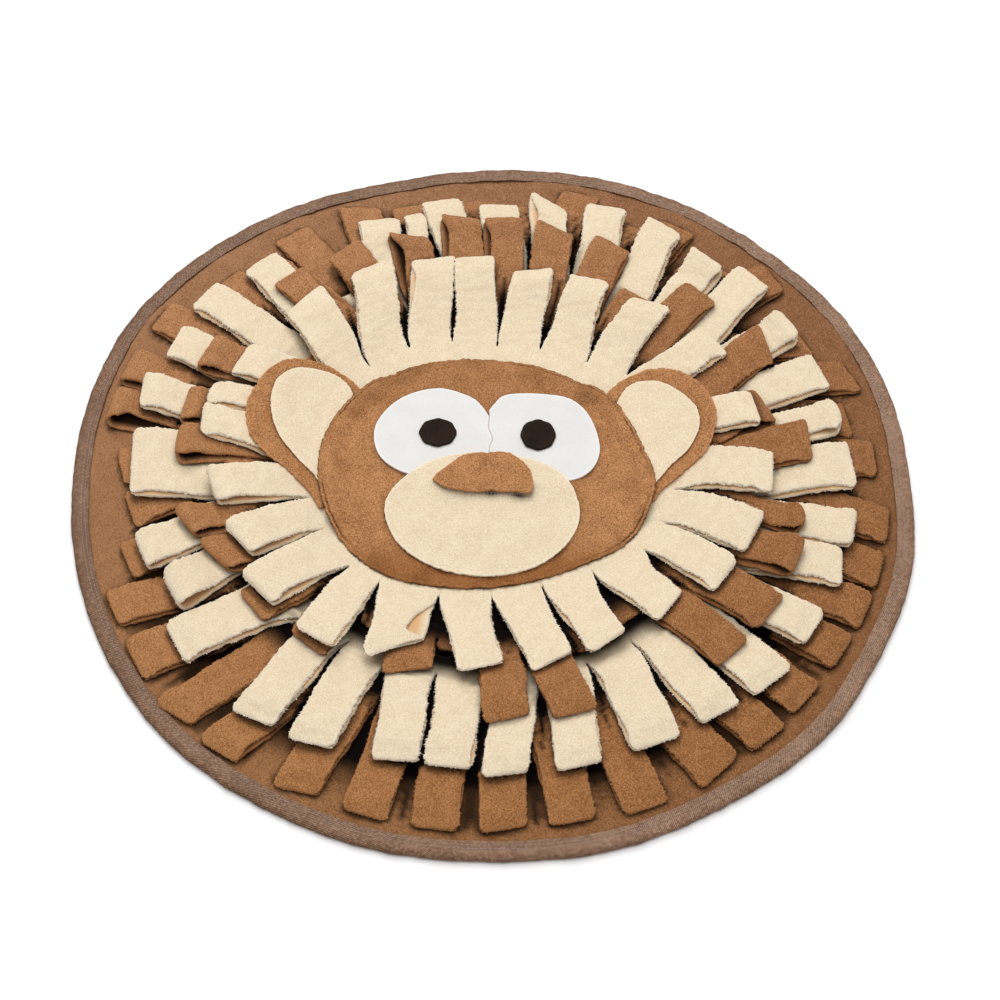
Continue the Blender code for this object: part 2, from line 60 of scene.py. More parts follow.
camera = bpy.data.objects.new("camera", bpy.data.cameras.new("camera"))
bpy.context.scene.collection.objects.link(camera)
camera.location = Vector((
    LOOK_AT[0], LOOK_AT[1] - CAMERA_DISTANCE * np.cos(CAMERA_ELEVATION),
    CAMERA_DISTANCE * np.sin(CAMERA_ELEVATION))) * MM
camera.rotation_euler = (np.pi / 2.0 - CAMERA_ELEVATION, 0.0, 0.0)
camera.data.sensor_width = 36.0
camera.data.lens = 75.6
camera.data.shift_x = 0.0082
camera.data.shift_y = -0.0251
bpy.context.scene.camera = camera
bpy.context.scene.view_settings.view_transform = "Standard"


def add_lamp(name, place, size, power):
    """Square lamp at a place in millimetres, turned to the mat."""
    lamp = bpy.data.objects.new(name, bpy.data.lights.new(name, "AREA"))
    lamp.data.size = size * MM
    lamp.data.energy = power
    lamp.location = Vector(place) * MM
    lamp.rotation_euler = lamp.location.to_track_quat("Z", "Y").to_euler()
    bpy.context.scene.collection.objects.link(lamp)


add_lamp("lamp_beyond", (-250.0, 900.0, 1500.0), 700.0, 9.5)
add_lamp("lamp_above", (30.0, -80.0, 2000.0), 1500.0, 21.5)

world = bpy.data.worlds.new("surround")
world.use_nodes = True
surround = world.node_tree.nodes["Background"].inputs
surround["Color"].default_value = (*WHITE, 1.0)
surround["Strength"].default_value = 0.45
bpy.context.scene.world = world

FLOOR_HALF = 6000.0
floor_mesh = bpy.data.meshes.new("floor")
floor_mesh.from_pydata(
    [(x * MM, y * MM, 0.0) for x, y in (
        (-FLOOR_HALF, -FLOOR_HALF), (FLOOR_HALF, -FLOOR_HALF),
        (FLOOR_HALF, FLOOR_HALF), (-FLOOR_HALF, FLOOR_HALF))], [], [(0, 1, 2, 3)])
floor = bpy.data.objects.new("floor", floor_mesh)
bpy.context.scene.collection.objects.link(floor)
floor_material = bpy.data.materials.new("floor")
floor_material.use_nodes = True
floor_shader = floor_material.node_tree.nodes["Principled BSDF"]
floor_shader.inputs["Base Color"].default_value = (0.96, 0.96, 0.96, 1.0)
floor_shader.inputs["Roughness"].default_value = 0.9
floor_mesh.materials.append(floor_material)


# ---------------------------------------------------------------- base
# A disc of brown fleece, cut about 492 mm across.  It lies flat, rises onto the tape's
# lower leg near its rim, and puffs up a little where the tape draws it in.

# Distance of the rim from the middle, at even bearings from 0 onwards.
EDGE = (248, 251, 252, 250.5, 251.5, 250.5, 248, 246, 250.5, 254, 256, 252,
        248, 247.5, 248.5, 250, 249, 249, 248, 250, 249.5, 252.5, 250.5, 251)
TAPE = 1.0                  # thickness of the tape
TAPE_GAP = 0.3              # between the tape and the base
BASE = 2.4                  # thickness of the base fleece
BASE_FLAT = 24.0            # inset within which the base lies on the floor
BASE_RIM = 14.0             # inset from which it lies on the tape's lower leg
BASE_STEPS = 420            # points round the base
BASE_TOP_INSETS = np.concatenate((np.linspace(236.0, 62.0, 12), np.linspace(60.0, 3.2, 30)))
BASE_EDGE = ((2.6, 0.97), (2.05, 0.75), (1.9, 0.5), (2.05, 0.25), (2.6, 0.03))
BASE_LOW_INSETS = (3.2, 9.0, 14.0, 16.5, 19.0, 21.5, 24.0, 60.0, 236.0)
BASE_SHADE = 192.0          # distance from the middle from which the shade lifts
BASE_SHADE_EASE = 22.0      # the distance over which it does
BASE_SHADE_LEAN = 0.05      # and how much nearer it does so for each millimetre of Y
PUCKER_INSETS = (45.0, 20.0, 12.0, 6.0)     # where puckers set in, are full, fade and end
PUCKER_RISE = 0.3           # how far the base is lifted there
PUCKER_SWELL = 0.55         # and how high its waves are


class Wire:
    """One output of a material's nodes.  + - * on wires and numbers add Math nodes."""

    def __init__(self, tree, socket):
        self.tree = tree
        self.socket = socket

    def node(self, kind, sockets=None, output=0, stops=(), **settings):
        """A node of a kind: its settings and colour stops first, then its sockets."""
        made = self.tree.nodes.new(kind)
        for name, value in settings.items():
            setattr(made, name, value)
        if stops:
            ramp = made.color_ramp
            while len(ramp.elements) < len(stops):
                ramp.elements.new(0.5)
            for element, (position, colour) in zip(ramp.elements, stops):
                element.position = position
                element.color = (*colour, 1.0)
        for name, value in (sockets or {}).items():
            if isinstance(value, Wire):
                self.tree.links.new(value.socket, made.inputs[name])
            else:
                made.inputs[name].default_value = value
        return Wire(self.tree, made.outputs[output])

    def math(self, operation, *values, clamp=False):
        """A Math node's operation on wires and numbers."""
        return self.node("ShaderNodeMath", dict(enumerate(values)), operation=operation,
                         use_clamp=clamp)

    def __add__(self, other):
        return self.math("ADD", self, other)

    def __sub__(self, other):
        return self.math("SUBTRACT", self, other)

    def __mul__(self, other):
        return self.math("MULTIPLY", self, other)

    __radd__ = __add__
    __rmul__ = __mul__

    def __rsub__(self, other):
        return self.math("SUBTRACT", other, self)

    def clamped(self):
        """This wire, held between 0 and 1."""
        return self.math("ADD", self, 0.0, clamp=True)

    def sine(self):
        """Sine of this wire, which is in radians."""
        return self.math("SINE", self)

    def axis(self, index):
        """A vector's X, Y or Z, as index is 0, 1 or 2."""
        return self.node("ShaderNodeSeparateXYZ", {0: self}, output=index)

    def times(self, other):
        """This vector or colour times another one, channel by channel."""
        return self.node("ShaderNodeVectorMath", {0: self, 1: other}, operation="MULTIPLY")

    def noise(self, size, detail=2.0, roughness=0.5):
        """Noise about 0.5 at this place, whose lumps are about size millimetres apart."""
        return self.node("ShaderNodeTexNoise", {
            "Vector": self, "Scale": 1.0 / (size * MM), "Detail": detail,
            "Roughness": roughness})

    def ramp(self, *stops):
        """Colour through (position, colour) stops as this wire goes from 0 to 1."""
        return self.node("ShaderNodeValToRGB", {"Fac": self}, stops=stops)

    def blend(self, low, high):
        """Colour that goes from low to high as this wire goes from 0 to 1."""
        def colour(value):
            return value if isinstance(value, Wire) else (*value, 1.0)
        return self.node("ShaderNodeMix", {0: self, 6: colour(low), 7: colour(high)},
                         output=2, data_type="RGBA", clamp_factor=True)

    def attribute(self, name):
        """The number that the piece's mesh holds under a name at each point."""
        return self.node("ShaderNodeAttribute", output=2, attribute_name=name)


def new_material(name, roughness, sheen=0.0, sheen_colour=WHITE):
    """A cloth material, its shader, and the wire of Object coordinates."""
    material = bpy.data.materials.new(name)
    material.use_nodes = True
    tree = material.node_tree
    shader = tree.nodes["Principled BSDF"]
    shader.inputs["Roughness"].default_value = roughness
    shader.inputs["Specular IOR Level"].default_value = 0.08
    shader.inputs["Sheen Weight"].default_value = sheen
    shader.inputs["Sheen Roughness"].default_value = 0.4
    shader.inputs["Sheen Tint"].default_value = (*sheen_colour, 1.0)
    place = Wire(tree, tree.nodes.new("ShaderNodeTexCoord").outputs["Object"])
    return material, shader, place


def connect(wire, shader, socket):
    """Link a wire to one of a shader's sockets."""
    wire.tree.links.new(wire.socket, shader.inputs[socket])


def dress(shader, colour, height, strength, relief):
    """Give a shader its colour, and a bump of that height, relief millimetres high."""
    connect(colour, shader, "Base Color")
    connect(height.node("ShaderNodeBump", {
        "Height": height, "Strength": strength, "Distance": relief * MM}), shader, "Normal")


FIBRE_DRAW = (1.0, 0.4, 1.0)        # scale that draws fibres out along Y
CURL_CONTRAST = 3.0                 # how strongly each kind of noise tells in the colour
FLECK_CONTRAST = 1.6
MOTTLE_CONTRAST = 0.7
MOTTLE_SIZE = 9.0
SHADE = (0.003, 0.0015, 0.001)      # of roots and hollows that lie under other cloth
NEAR_PAINTED_LIGHT = (0.93, 0.89, 0.78)      # painted light: brown fleece's near side, darker and warmer, as lit from the floor
# painted light: brown fleece's far side, lighter and bluer
FAR_PAINTED_LIGHT = (1.03, 1.05, 1.12)
PAINTED_LIGHT_RATE = 2.2                     # share of the way from near to far for each metre of Y


def fleece(name, deep, body, tip, edge, inside, pebble, relief, sheen, lighter_to_minus_x=0.0,
           near=WHITE, far=WHITE):
    """Napped fleece: deep between its curls, body on them, and tip on the highest ones.

    Curls are noise of the pebble size, with fibres as finer noise drawn out, over faint
    mottling.  Colour goes to edge along cut edges and folds, for paler fibre ends and a
    painted highlight there; to inside, a painted warm shade, in the hollow of a folded strip
    and on the face's chin; and to nearly black where shade, a painted shade, marks the roots
    under other strips.  lighter_to_minus_x is how much lighter the cloth gets for each metre
    towards -X, and near and far are painted light: tints that darken and warm its near side
    and lighten and cool its far side.
    """
    material, shader, place = new_material(name, 0.95, sheen, tip)
    curls = place.noise(pebble, 3.0, 0.65)
    strands = place.times(FIBRE_DRAW).noise(pebble * 0.5, 2.0)
    flecks = place.noise(pebble * 0.5, 1.0)
    mottle = place.noise(MOTTLE_SIZE, 3.0, 0.6)
    height = curls * 0.6 + strands * 0.4
    # curls, flecks and mottling set the level, which rises towards -X
    level = ((height - 0.5) * CURL_CONTRAST + (flecks - 0.5) * FLECK_CONTRAST
             + (mottle - 0.5) * MOTTLE_CONTRAST + (0.5 - place.axis(0) * lighter_to_minus_x)).clamped()
    napped = level.ramp((0.0, deep), (0.5, body), (1.0, tip))
    # painted light: darker and warmer towards the near side, lighter and bluer towards the far
    napped = napped.times((place.axis(1) * PAINTED_LIGHT_RATE + 0.5).blend(near, far))
    # edge colour: paler fibre ends with a painted highlight along cut edges and folds
    fuzz = (place.attribute("edge") * (flecks * 2.2 - 0.4)).clamped()
    colour = fuzz.blend(napped, edge)
    # painted warm shade in the hollows of folded strips and on the face's chin
    colour = (place.attribute("inside") * 0.85).blend(colour, inside)
    colour = place.attribute("shade").blend(colour, SHADE)
    dress(shader, colour, height, 0.8, relief)
    return material


base_fleece = fleece(
    "base_fleece", deep=(0.19, 0.081, 0.032), body=(0.275, 0.131, 0.061),
    tip=(0.38, 0.19, 0.092), edge=(0.45, 0.24, 0.12), inside=(0.2, 0.08, 0.03),
    pebble=1.2, relief=0.5, sheen=0.05, lighter_to_minus_x=1.2, near=NEAR_PAINTED_LIGHT, far=FAR_PAINTED_LIGHT)


def smoothstep(value):
    """Ease from 0 to 1 as value goes from 0 to 1."""
    value = np.clip(value, 0.0, 1.0)
    return value * value * (3.0 - 2.0 * value)


def polar(radius, bearing):
    """Point of the plan at a radius and a bearing."""
    angle = np.radians(bearing)
    return np.stack((radius * np.cos(angle), radius * np.sin(angle)), axis=-1)


def closed_curve(points, count):
    """Smooth closed curve through points (Catmull-Rom), as count evenly spread points."""
    points = np.asarray(points, dtype=float)
    place = np.arange(count) * len(points) / count
    start = place.astype(int)
    t = (place - start)[:, None]
    before, here, after, beyond = (points[(start + k) % len(points)] for k in (-1, 0, 1, 2))
    return 0.5 * (2.0 * here + (after - before) * t
                  + (2.0 * before - 5.0 * here + 4.0 * after - beyond) * t ** 2
                  + (3.0 * here - 3.0 * after + beyond - before) * t ** 3)


def evenly(points, count):
    """A closed curve's points spread again, at equal lengths along it."""
    around = np.vstack((points, points[:1]))
    length = np.append(0.0, np.cumsum(np.linalg.norm(np.diff(around, axis=0), axis=1)))
    at = np.arange(count) * length[-1] / count
    return np.column_stack([np.interp(at, length, column) for column in around.T])


def waves(points, size, seed):
    """Smooth noise about 0: the sum of twelve plane waves, each about size long."""
    draw = np.random.default_rng(seed)
    direction = draw.normal(size=(12, points.shape[-1]))
    direction /= np.linalg.norm(direction, axis=1, keepdims=True)
    length = size * draw.uniform(0.7, 1.4, 12)
    phase = draw.uniform(0.0, 2.0 * np.pi, 12)
    turns = points @ (direction / length[:, None]).T
    return np.sin(2.0 * np.pi * turns + phase).sum(axis=-1) / np.sqrt(6.0)


def grid_faces(rows, columns, first=0, closed=False):
    """Quads between neighbours on a grid of points, numbered row by row from first.

    A closed grid also joins the last column to the first.
    """
    row = np.arange(rows - 1)[:, None] * columns
    column = np.arange(columns if closed else columns - 1)[None]
    after = (column + 1) % columns
    quads = np.stack((row + column, row + after, row + columns + after,
                      row + columns + column), axis=-1)
    return quads.reshape(-1, 4) + first


def add_piece(name, points, faces, material, replaces=(), nap=0.0, curl=2.4,
              marks=None, uv=None):
    """A closed piece from points in millimetres, dressed and riding on the part.

    Its points are moved along their normals by waves curl long and nap high.  marks are
    attributes with a value for each point, and uv holds two numbers for each.
    """
    mesh = bpy.data.meshes.new(name)
    mesh.from_pydata((np.asarray(points) * MM).tolist(), [],
                     [face for part in faces for face in np.asarray(part).tolist()])
    for key, values in (marks or {}).items():
        mesh.attributes.new(key, "FLOAT", "POINT").data.foreach_set(
            "value", np.asarray(values, dtype=np.float32))
    if uv is not None:
        mesh.uv_layers.new(name="cloth")
        corner = np.empty(len(mesh.loops), dtype=np.int64)
        mesh.loops.foreach_get("vertex_index", corner)
        mesh.uv_layers["cloth"].data.foreach_set(
            "uv", np.asarray(uv, dtype=np.float32)[corner].ravel())
    body = bmesh.new()
    body.from_mesh(mesh)
    bmesh.ops.remove_doubles(body, verts=body.verts, dist=0.002 * MM)
    bmesh.ops.recalc_face_normals(body, faces=body.faces)
    body.to_mesh(mesh)
    body.free()
    if nap:
        place = np.empty(len(mesh.vertices) * 3, dtype=np.float32)
        normal = np.empty_like(place)
        mesh.vertices.foreach_get("co", place)
        mesh.vertex_normals.foreach_get("vector", normal)
        place = place.reshape(-1, 3)
        ripple = waves(place / MM, curl, len(name)) + 0.5 * waves(place / MM, curl / 2.0, 7)
        place += normal.reshape(-1, 3) * (ripple * nap * MM)[:, None].astype(np.float32)
        mesh.vertices.foreach_set("co", place.ravel())
        mesh.update()
    mesh.shade_smooth()
    mesh.materials.append(material)
    piece = bpy.data.objects.new(name, mesh)
    bpy.context.scene.collection.objects.link(piece)
    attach(piece, "root")
    if replaces:
        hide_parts(*replaces)
    return piece


def mat_edge(count):
    """The mat's outline: a smooth closed curve through EDGE, as count even points.

    It is moved so that its bounding box is centred on the origin.
    """
    bearings = np.arange(len(EDGE)) * 360.0 / len(EDGE)
    outline = closed_curve(polar(np.array(EDGE), bearings), 960)
    outline -= (outline.min(axis=0) + outline.max(axis=0)) / 2.0
    return evenly(outline, count)


def edge_row(outline, inset, height):
    """The outline drawn in by inset, at one height for all or one for each point."""
    radius = np.linalg.norm(outline, axis=1, keepdims=True)
    plan = outline * (1.0 - np.asarray(inset).reshape(-1, 1) / radius)
    return np.column_stack((plan, np.broadcast_to(height, len(plan))))


def base_lift(inset):
    """Rise of the base from the floor onto the tape's lower leg."""
    return smoothstep((BASE_FLAT - inset) / (BASE_FLAT - BASE_RIM))


def base_top(inset, plan):
    """Height of the base's top: flat, up onto the tape's leg, with soft puckers there."""
    begin, full, fade, end = PUCKER_INSETS
    pucker = (smoothstep((begin - inset) / (begin - full))
              * smoothstep((inset - end) / (fade - end)))
    swell = 0.9 * waves(plan, 55.0, 3) + 0.35 * waves(plan, 17.0, 4)
    return (BASE + (TAPE + TAPE_GAP) * base_lift(inset)
            + pucker * (PUCKER_RISE + PUCKER_SWELL * swell))


def closed_body(rows, poles):
    """Points and faces of closed rows of points, fanned to a pole at each end."""
    count = len(rows[0])
    around = np.arange(count)
    after = (around + 1) % count
    pole = len(rows) * count
    last = pole - count
    fans = np.concatenate((
        np.column_stack((np.full(count, pole), after, around)),
        np.column_stack((np.full(count, pole + 1), last + around, last + after))))
    return (np.concatenate([*rows, poles]),
            (grid_faces(len(rows), count, closed=True), fans))


def add_base():
    """Rows of the outline drawn in step by step over the top, round the edge and below."""
    outline = mat_edge(BASE_STEPS)
    rows = []
    for inset in BASE_TOP_INSETS:
        plan = edge_row(outline, inset, 0.0)[:, :2]
        rows.append(np.column_stack((plan, base_top(inset, plan))))
    lifted = TAPE + TAPE_GAP
    rows += [edge_row(outline, inset, lifted + BASE * share) for inset, share in BASE_EDGE]
    rows += [edge_row(outline, inset, lifted * base_lift(inset)) for inset in BASE_LOW_INSETS]
    points, faces = closed_body(rows, ((0.0, 0.0, BASE), (0.0, 0.0, 0.0)))
    away = np.linalg.norm(points[:, :2], axis=1)
    away = away + BASE_SHADE_LEAN * points[:, 1]
    shade = 1.0 - smoothstep((away - BASE_SHADE) / BASE_SHADE_EASE)
    piece = add_piece("base_cloth", points, faces, base_fleece, ("base",),
                      nap=0.06, curl=3.0, marks={"shade": shade})


# ---------------------------------------------------------------- binding
# A taupe twill tape, 22 mm wide, folded in half round the disc's edge.  Its ribs run
# aslant, and a double row of paler thread sews it down near its inner edge.

TAPE_WIDTH = 10.5           # of each of its two legs
TAPE_RIB = 1.5              # from one rib to the next, along the tape
TAPE_SLANT = 1.1            # how far a rib moves along the tape for each step across it
TAPE_STEPS = 1000
TAPE_RUN = 1560.0           # length of the tape
TAPE_FULL = 2.0 * (TAPE + TAPE_GAP) + BASE      # height of the folded tape over the floor
TAPE_PALE = (0.28, 0.185, 0.135)                # what the tape leans to beside its stitches
STITCH_ROWS = (2.3, 4.4)    # from the tape's inner edge
STITCH_PITCH = 2.4
STITCH = 1.9                # length of one stitch that shows
THREAD_RADIUS = 0.26
THREAD_SINK = 0.3           # how far a stitch's ends go down into the tape
STITCH_DENT = 0.35          # how far a row of stitches pulls the tape down
STITCH_DENT_WIDTH = 0.7
RIPPLE = 0.3                # how far the tape's top goes up and down
SIDE_RIPPLE = 0.4           # and the tape in and out


def twill():
    """Slanting ribs: a wave of UV's length plus TAPE_SLANT times its width.

    Noise roughens them and wears them in patches.  outer goes from 0 beside the stitches
    to 1 round the rim, where the tape is darker and less pale.
    """
    material, shader, place = new_material("twill_tape", 0.85, 0.15, (0.6, 0.5, 0.42))
    cloth = place.node("ShaderNodeUVMap", uv_map="cloth")
    across = cloth.axis(1)
    turns = (cloth.axis(0) + across * TAPE_SLANT) * (1.0 / TAPE_RIB)
    rib = (turns * (2.0 * np.pi)).sine() * 0.5 + 0.5
    threads = place.noise(1.4, 2.0, 0.7)
    wear = place.noise(22.0, 3.0)
    outer = ((across - 6.0) * 0.18).clamped()
    level = (rib * 0.6 + threads * 1.9 + (wear - 0.5) * 0.7 - outer * 0.2
             + place.axis(0) * 0.6 - 0.79).clamped()
    colour = level.ramp((0.0, (0.095, 0.046, 0.024)), (0.5, (0.255, 0.140, 0.083)),
                        (1.0, (0.49, 0.315, 0.22)))
    colour = ((1.0 - outer) * 0.3).blend(colour, TAPE_PALE)
    dress(shader, colour, rib * 0.5 + threads * 0.6, 0.9, 0.35)
    return material


def thread(name, colour):
    """Sewing thread, whose plies are fine noise between its dark and its light."""
    material, shader, place = new_material(name, 0.7, 0.2)
    plies = place.noise(0.5, 1.0)
    light = tuple(min(1.0, channel * 1.25) for channel in colour)
    dark = tuple(channel * 0.7 for channel in colour)
    connect(plies.blend(dark, light), shader, "Base Color")
    return material


def stitch_mesh(path, pitch, length, radius, sink):
    """Stitches along a closed path of (x, y, z): each a bowed thread, down at both ends.

    A stitch's middle line is half a wave, sink deep.  Its section is a six-sided ring
    whose radius closes to nothing at both ends, as an ellipse's width does.
    """
    around = np.vstack((path, path[:1]))
    step = np.linalg.norm(np.diff(around, axis=0), axis=1)
    run = np.append(0.0, np.cumsum(step))
    count = int(run[-1] / pitch)
    share = np.linspace(-0.5, 0.5, 5)
    at = (np.arange(count)[:, None] * (run[-1] / count) + share * length) % run[-1]
    line = np.stack([np.interp(at, run, column) for column in around.T], axis=-1)
    line[..., 2] -= sink * (1.0 - np.cos(np.pi * share))
    forward = line[:, -1] - line[:, 0]
    forward /= np.linalg.norm(forward, axis=1, keepdims=True)
    side = np.cross(forward, (0.0, 0.0, 1.0))
    side /= np.linalg.norm(side, axis=1, keepdims=True)
    up = np.cross(side, forward)
    turn = np.arange(6) * np.pi / 3.0
    ring = (np.cos(turn)[:, None, None] * side + np.sin(turn)[:, None, None] * up)
    thick = radius * np.sqrt(np.clip(1.0 - (2.0 * share) ** 2, 0.0, 1.0))
    points = (line[:, :, None] + ring.transpose(1, 0, 2)[:, None] * thick[:, None, None])
    one = grid_faces(len(share), 6, closed=True)
    faces = (one[None] + np.arange(count)[:, None, None] * len(share) * 6).reshape(-1, 4)
    return points.reshape(-1, 3), faces


def add_binding():
    """A C-shaped section of 24 points carried round the outline, and its stitches."""
    outline = mat_edge(TAPE_STEPS)
    outline = np.vstack((outline, outline[:1]))
    full = TAPE_FULL
    half = full / 2.0
    turn = np.radians(np.linspace(90.0, -90.0, 9))
    outer = [(TAPE_WIDTH - step, full) for step in (0.0, 1.2, 2.3, 3.3, 4.4, 5.6, 7.0)]
    outer += [(2.0 - 2.0 * np.cos(angle), half + half * np.sin(angle)) for angle in turn]
    outer += [(TAPE_WIDTH - step, 0.0) for step in (6.0, 3.0, 0.0)]
    inner = [(TAPE_WIDTH, TAPE), (TAPE_WIDTH / 2.0, TAPE), (2.4, TAPE + 0.1), (1.5, half),
             (2.4, full - TAPE - 0.1), (TAPE_WIDTH / 2.0, full - TAPE),
             (TAPE_WIDTH, full - TAPE)]
    section = np.array(outer + inner)
    run = np.append(0.0, np.cumsum(np.linalg.norm(np.diff(section, axis=0), axis=1)))
    ripple = 0.35 * waves(outline, 24.0, 11) + 0.18 * waves(outline, 7.0, 12)
    rows, uv = [], []
    length = np.arange(TAPE_STEPS + 1) * TAPE_RUN / TAPE_STEPS
    for (inset, height), across in zip(section, run):
        top = smoothstep(height / full)
        row = edge_row(outline, inset, height)
        row[:, 2] += top * (RIPPLE * ripple - STITCH_DENT * sum(
            np.exp(-((TAPE_WIDTH - inset - place) / STITCH_DENT_WIDTH) ** 2)
            for place in STITCH_ROWS))
        row[:, :2] *= 1.0 + (ripple * SIDE_RIPPLE
                             / np.linalg.norm(row[:, :2], axis=1))[:, None]
        rows.append(row)
        uv.append(np.column_stack((length, np.full(TAPE_STEPS + 1, across))))
    rows.append(rows[0])
    uv.append(uv[0])
    faces = grid_faces(len(rows), TAPE_STEPS + 1)
    tape = add_piece("binding_tape", np.concatenate(rows), (faces,), twill(),
                     ("binding",), nap=0.04, curl=1.6, uv=np.concatenate(uv))

    pale = thread("pale_thread", (0.38, 0.28, 0.22))
    parts = []
    for place in STITCH_ROWS:
        path = edge_row(outline, TAPE_WIDTH - place, full - 0.02)
        path[:, 2] += RIPPLE * ripple
        parts.append(stitch_mesh(path[:-1], STITCH_PITCH, STITCH, THREAD_RADIUS, THREAD_SINK))
    join_threads("binding_stitches", parts, pale)


def join_threads(name, parts, material):
    """One piece of several runs of stitches."""
    starts = np.cumsum([0] + [len(points) for points, _ in parts])
    return add_piece(name, np.concatenate([points for points, _ in parts]),
                     [faces + start for (_, faces), start in zip(parts, starts)],
                     material)


add_binding()
add_base()


# ---------------------------------------------------------------- rings of folded strips
# Four rings of fleece strips, an inch wide, each folded back on itself as a loop and sewn
# down at its root.  Brown and cream rings take turns, and each laps over the next one out.
# The loops lean and lie as unevenly as they were left by hand.

SEWN_MIDDLE = (0.5, 3.0)
SEWN_SHIFT = np.array((*SEWN_MIDDLE, 0.0))
LAYER = 2.6                 # one layer of the strips' fleece
LEAST_GAP = 0.12            # half of what the layers leave between them
STRIP = 25.0                # width of one strip
SLIT = 1.0                  # width of the slit between two strips at their roots
SEAM_LENGTH = 4.0           # from a loop's root to where its two layers part
FOLD_ROUND = 0.6            # length of the rounded fold, as a share of the loop's depth
STRIP_EASE = 26.0           # distance over which a root widens to the strip's own width
TURN_SHARE = 0.6            # share of its length over which a loop turns square to its fold
RAGGED = 0.5                # how far cut edges wander in and out
PRESS = 0.42                # share of its depth that a closed fold is pressed thinner by
MOUTH = 13.0                # length over which a fold that gapes a little stands open
PEEL = 1.6                  # step from the lower layer's near edge in to the upper's
WIDE_PEEL = 2.0             # from here on, a peel is an opening that shows, and not a step
PEEL_EASE = 14.0            # length over which a narrow peel sets in
PEEL_SHARE = 0.75           # and a wide one, as a share of the loop's length
WANDER = 0.35               # how far a strip wanders from its middle line
WANDER_SIZE = 34.0
WANDER_EASE = 20.0          # length over which that sets in
RAGGED_EASE = 6.0           # and over which the edges' raggedness does
BULGE = 0.3                 # how far its upper layer bulges, in lumps of BULGE_SIZE
BULGE_SIZE = 26.0
CROWN = 0.45                # and how far it is crowned across
TOP_STEP = 1.05             # from one row of points to the next on a loop's upper layer
LOW_STEP = 3.0              # and on its lower layer
FOLD_ROWS = 7               # rows of points round the fold, between the two layers
TUFT = 1.1                  # length of the longest tufts of nap along cut edges
TUFT_ROOT = 0.35            # how deep their feet lie in the cloth
TUFT_WIDTHS = (0.25, 0.45)  # from the middle of a foot to its corners
TUFT_SPREAD = 0.35          # how far their ways stray
TOP_PITCH = 0.7             # from one tuft to the next along the upper layer's edges
LOW_PITCH = 1.2             # along the lower layer's
FOLD_PITCH = 0.6            # and along the fold
UNDERSIDE = 0.8             # shade on the lower layer's outside
# paler fibre ends with a painted highlight, along cream cut edges and folds
CREAM_EDGE = (0.98, 0.90, 0.77)


@dataclass
class Loop:
    """One folded strip: where its fold lies, and how it departs from its ring."""
    tip: float              # bearing of the middle of the fold
    reach: float            # distance of the fold from the mat's middle
    skew: float = 0.0       # how much further the fold's left corner reaches than its right
    lift: float = 0.0       # extra height of the fold
    gape: float = 0.0       # extra gap between the layers at the fold
    roll: float = 0.0       # how much higher the fold's left corner is than its right
    width: float = STRIP
    corner: float = 2.4     # radius of the fold's rounded corners in plan
    peel: float = PEEL      # how far the upper layer's near edge lies within the lower's
    side: int = 0           # which edge that is: 1 left, -1 right, 0 the one that faces near


@dataclass
class Ring:
    """One ring of loops, in the order of their slits, clockwise as seen from above."""
    name: str
    slits: tuple            # (bearing, radius) of each slit's inner end
    band: float             # width of the uncut fleece inside the slits
    heights: tuple          # rows of (radius, height of the underside, depth of the loop)
    free: tuple             # radii between which a loop's own lift, gape and roll set in
    shade: tuple            # radii between which the shade at its roots lifts
    gaps: float             # the most shade it has in gaps between the rings above
    hollow: float           # the shade deep in its hollows
    loops: tuple


# edge colours are paler fibre ends with a painted highlight, inside colours painted shade in
# hollows
brown_fleece = fleece(
    "brown_fleece", deep=(0.21, 0.088, 0.033), body=(0.345, 0.158, 0.066),
    tip=(0.50, 0.25, 0.115), edge=(0.55, 0.26, 0.105), inside=(0.16, 0.06, 0.022),
    pebble=1.1, relief=0.6, sheen=0.05, lighter_to_minus_x=0.9, near=NEAR_PAINTED_LIGHT, far=FAR_PAINTED_LIGHT)
cream_fleece = fleece(
    "cream_fleece", deep=(0.675, 0.535, 0.36), body=(0.77, 0.635, 0.45),
    tip=(0.87, 0.745, 0.565), edge=CREAM_EDGE, inside=(0.66, 0.38, 0.17),
    pebble=1.0, relief=0.5, sheen=0.05)


def even_slits(first, count, radius, moved=()):
    """Slits at even bearings, but for those that moved puts at bearings of their own."""
    moved = dict(moved)
    return tuple((moved.get(k, first - k * 360.0 / count), radius) for k in range(count))


def ring_height(ring, radius):
    """Height of a ring's underside and its depth at a radius."""
    table = np.array(ring.heights)
    return (np.interp(radius, table[:, 0], table[:, 1]),
            np.interp(radius, table[:, 0], table[:, 2]))


def root_points(ring, index):
    """Plan of one loop's root: its left and right ends on the slits' inner ends."""
    left_bearing, left_radius = ring.slits[index]
    right_bearing, right_radius = ring.slits[(index + 1) % len(ring.slits)]
    half = np.degrees(SLIT / 2.0 / left_radius)
    return (polar(left_radius, left_bearing - half), polar(right_radius, right_bearing + half))


def root_shade(ring, points):
    """1 at a ring's roots, under the next ring in, and 0 where its strips come clear."""
    radius = np.linalg.norm(points[:, :2], axis=1)
    return 1.0 - smoothstep((radius - ring.shade[0]) / (ring.shade[1] - ring.shade[0]))


def unit(vector):
    """A vector divided by its length."""
    return vector / np.linalg.norm(vector)


FLAT_SHARES = np.linspace(1.0, -1.0, 9)             # columns on a layer's outside
INNER_SHARES = np.linspace(1.0, -1.0, 7)            # and in the hollow
OUTER_TURN = np.radians((90.0, 60.0, 30.0))         # round a layer's edge, on the outside
INNER_TURN = np.radians((90.0, 45.0))


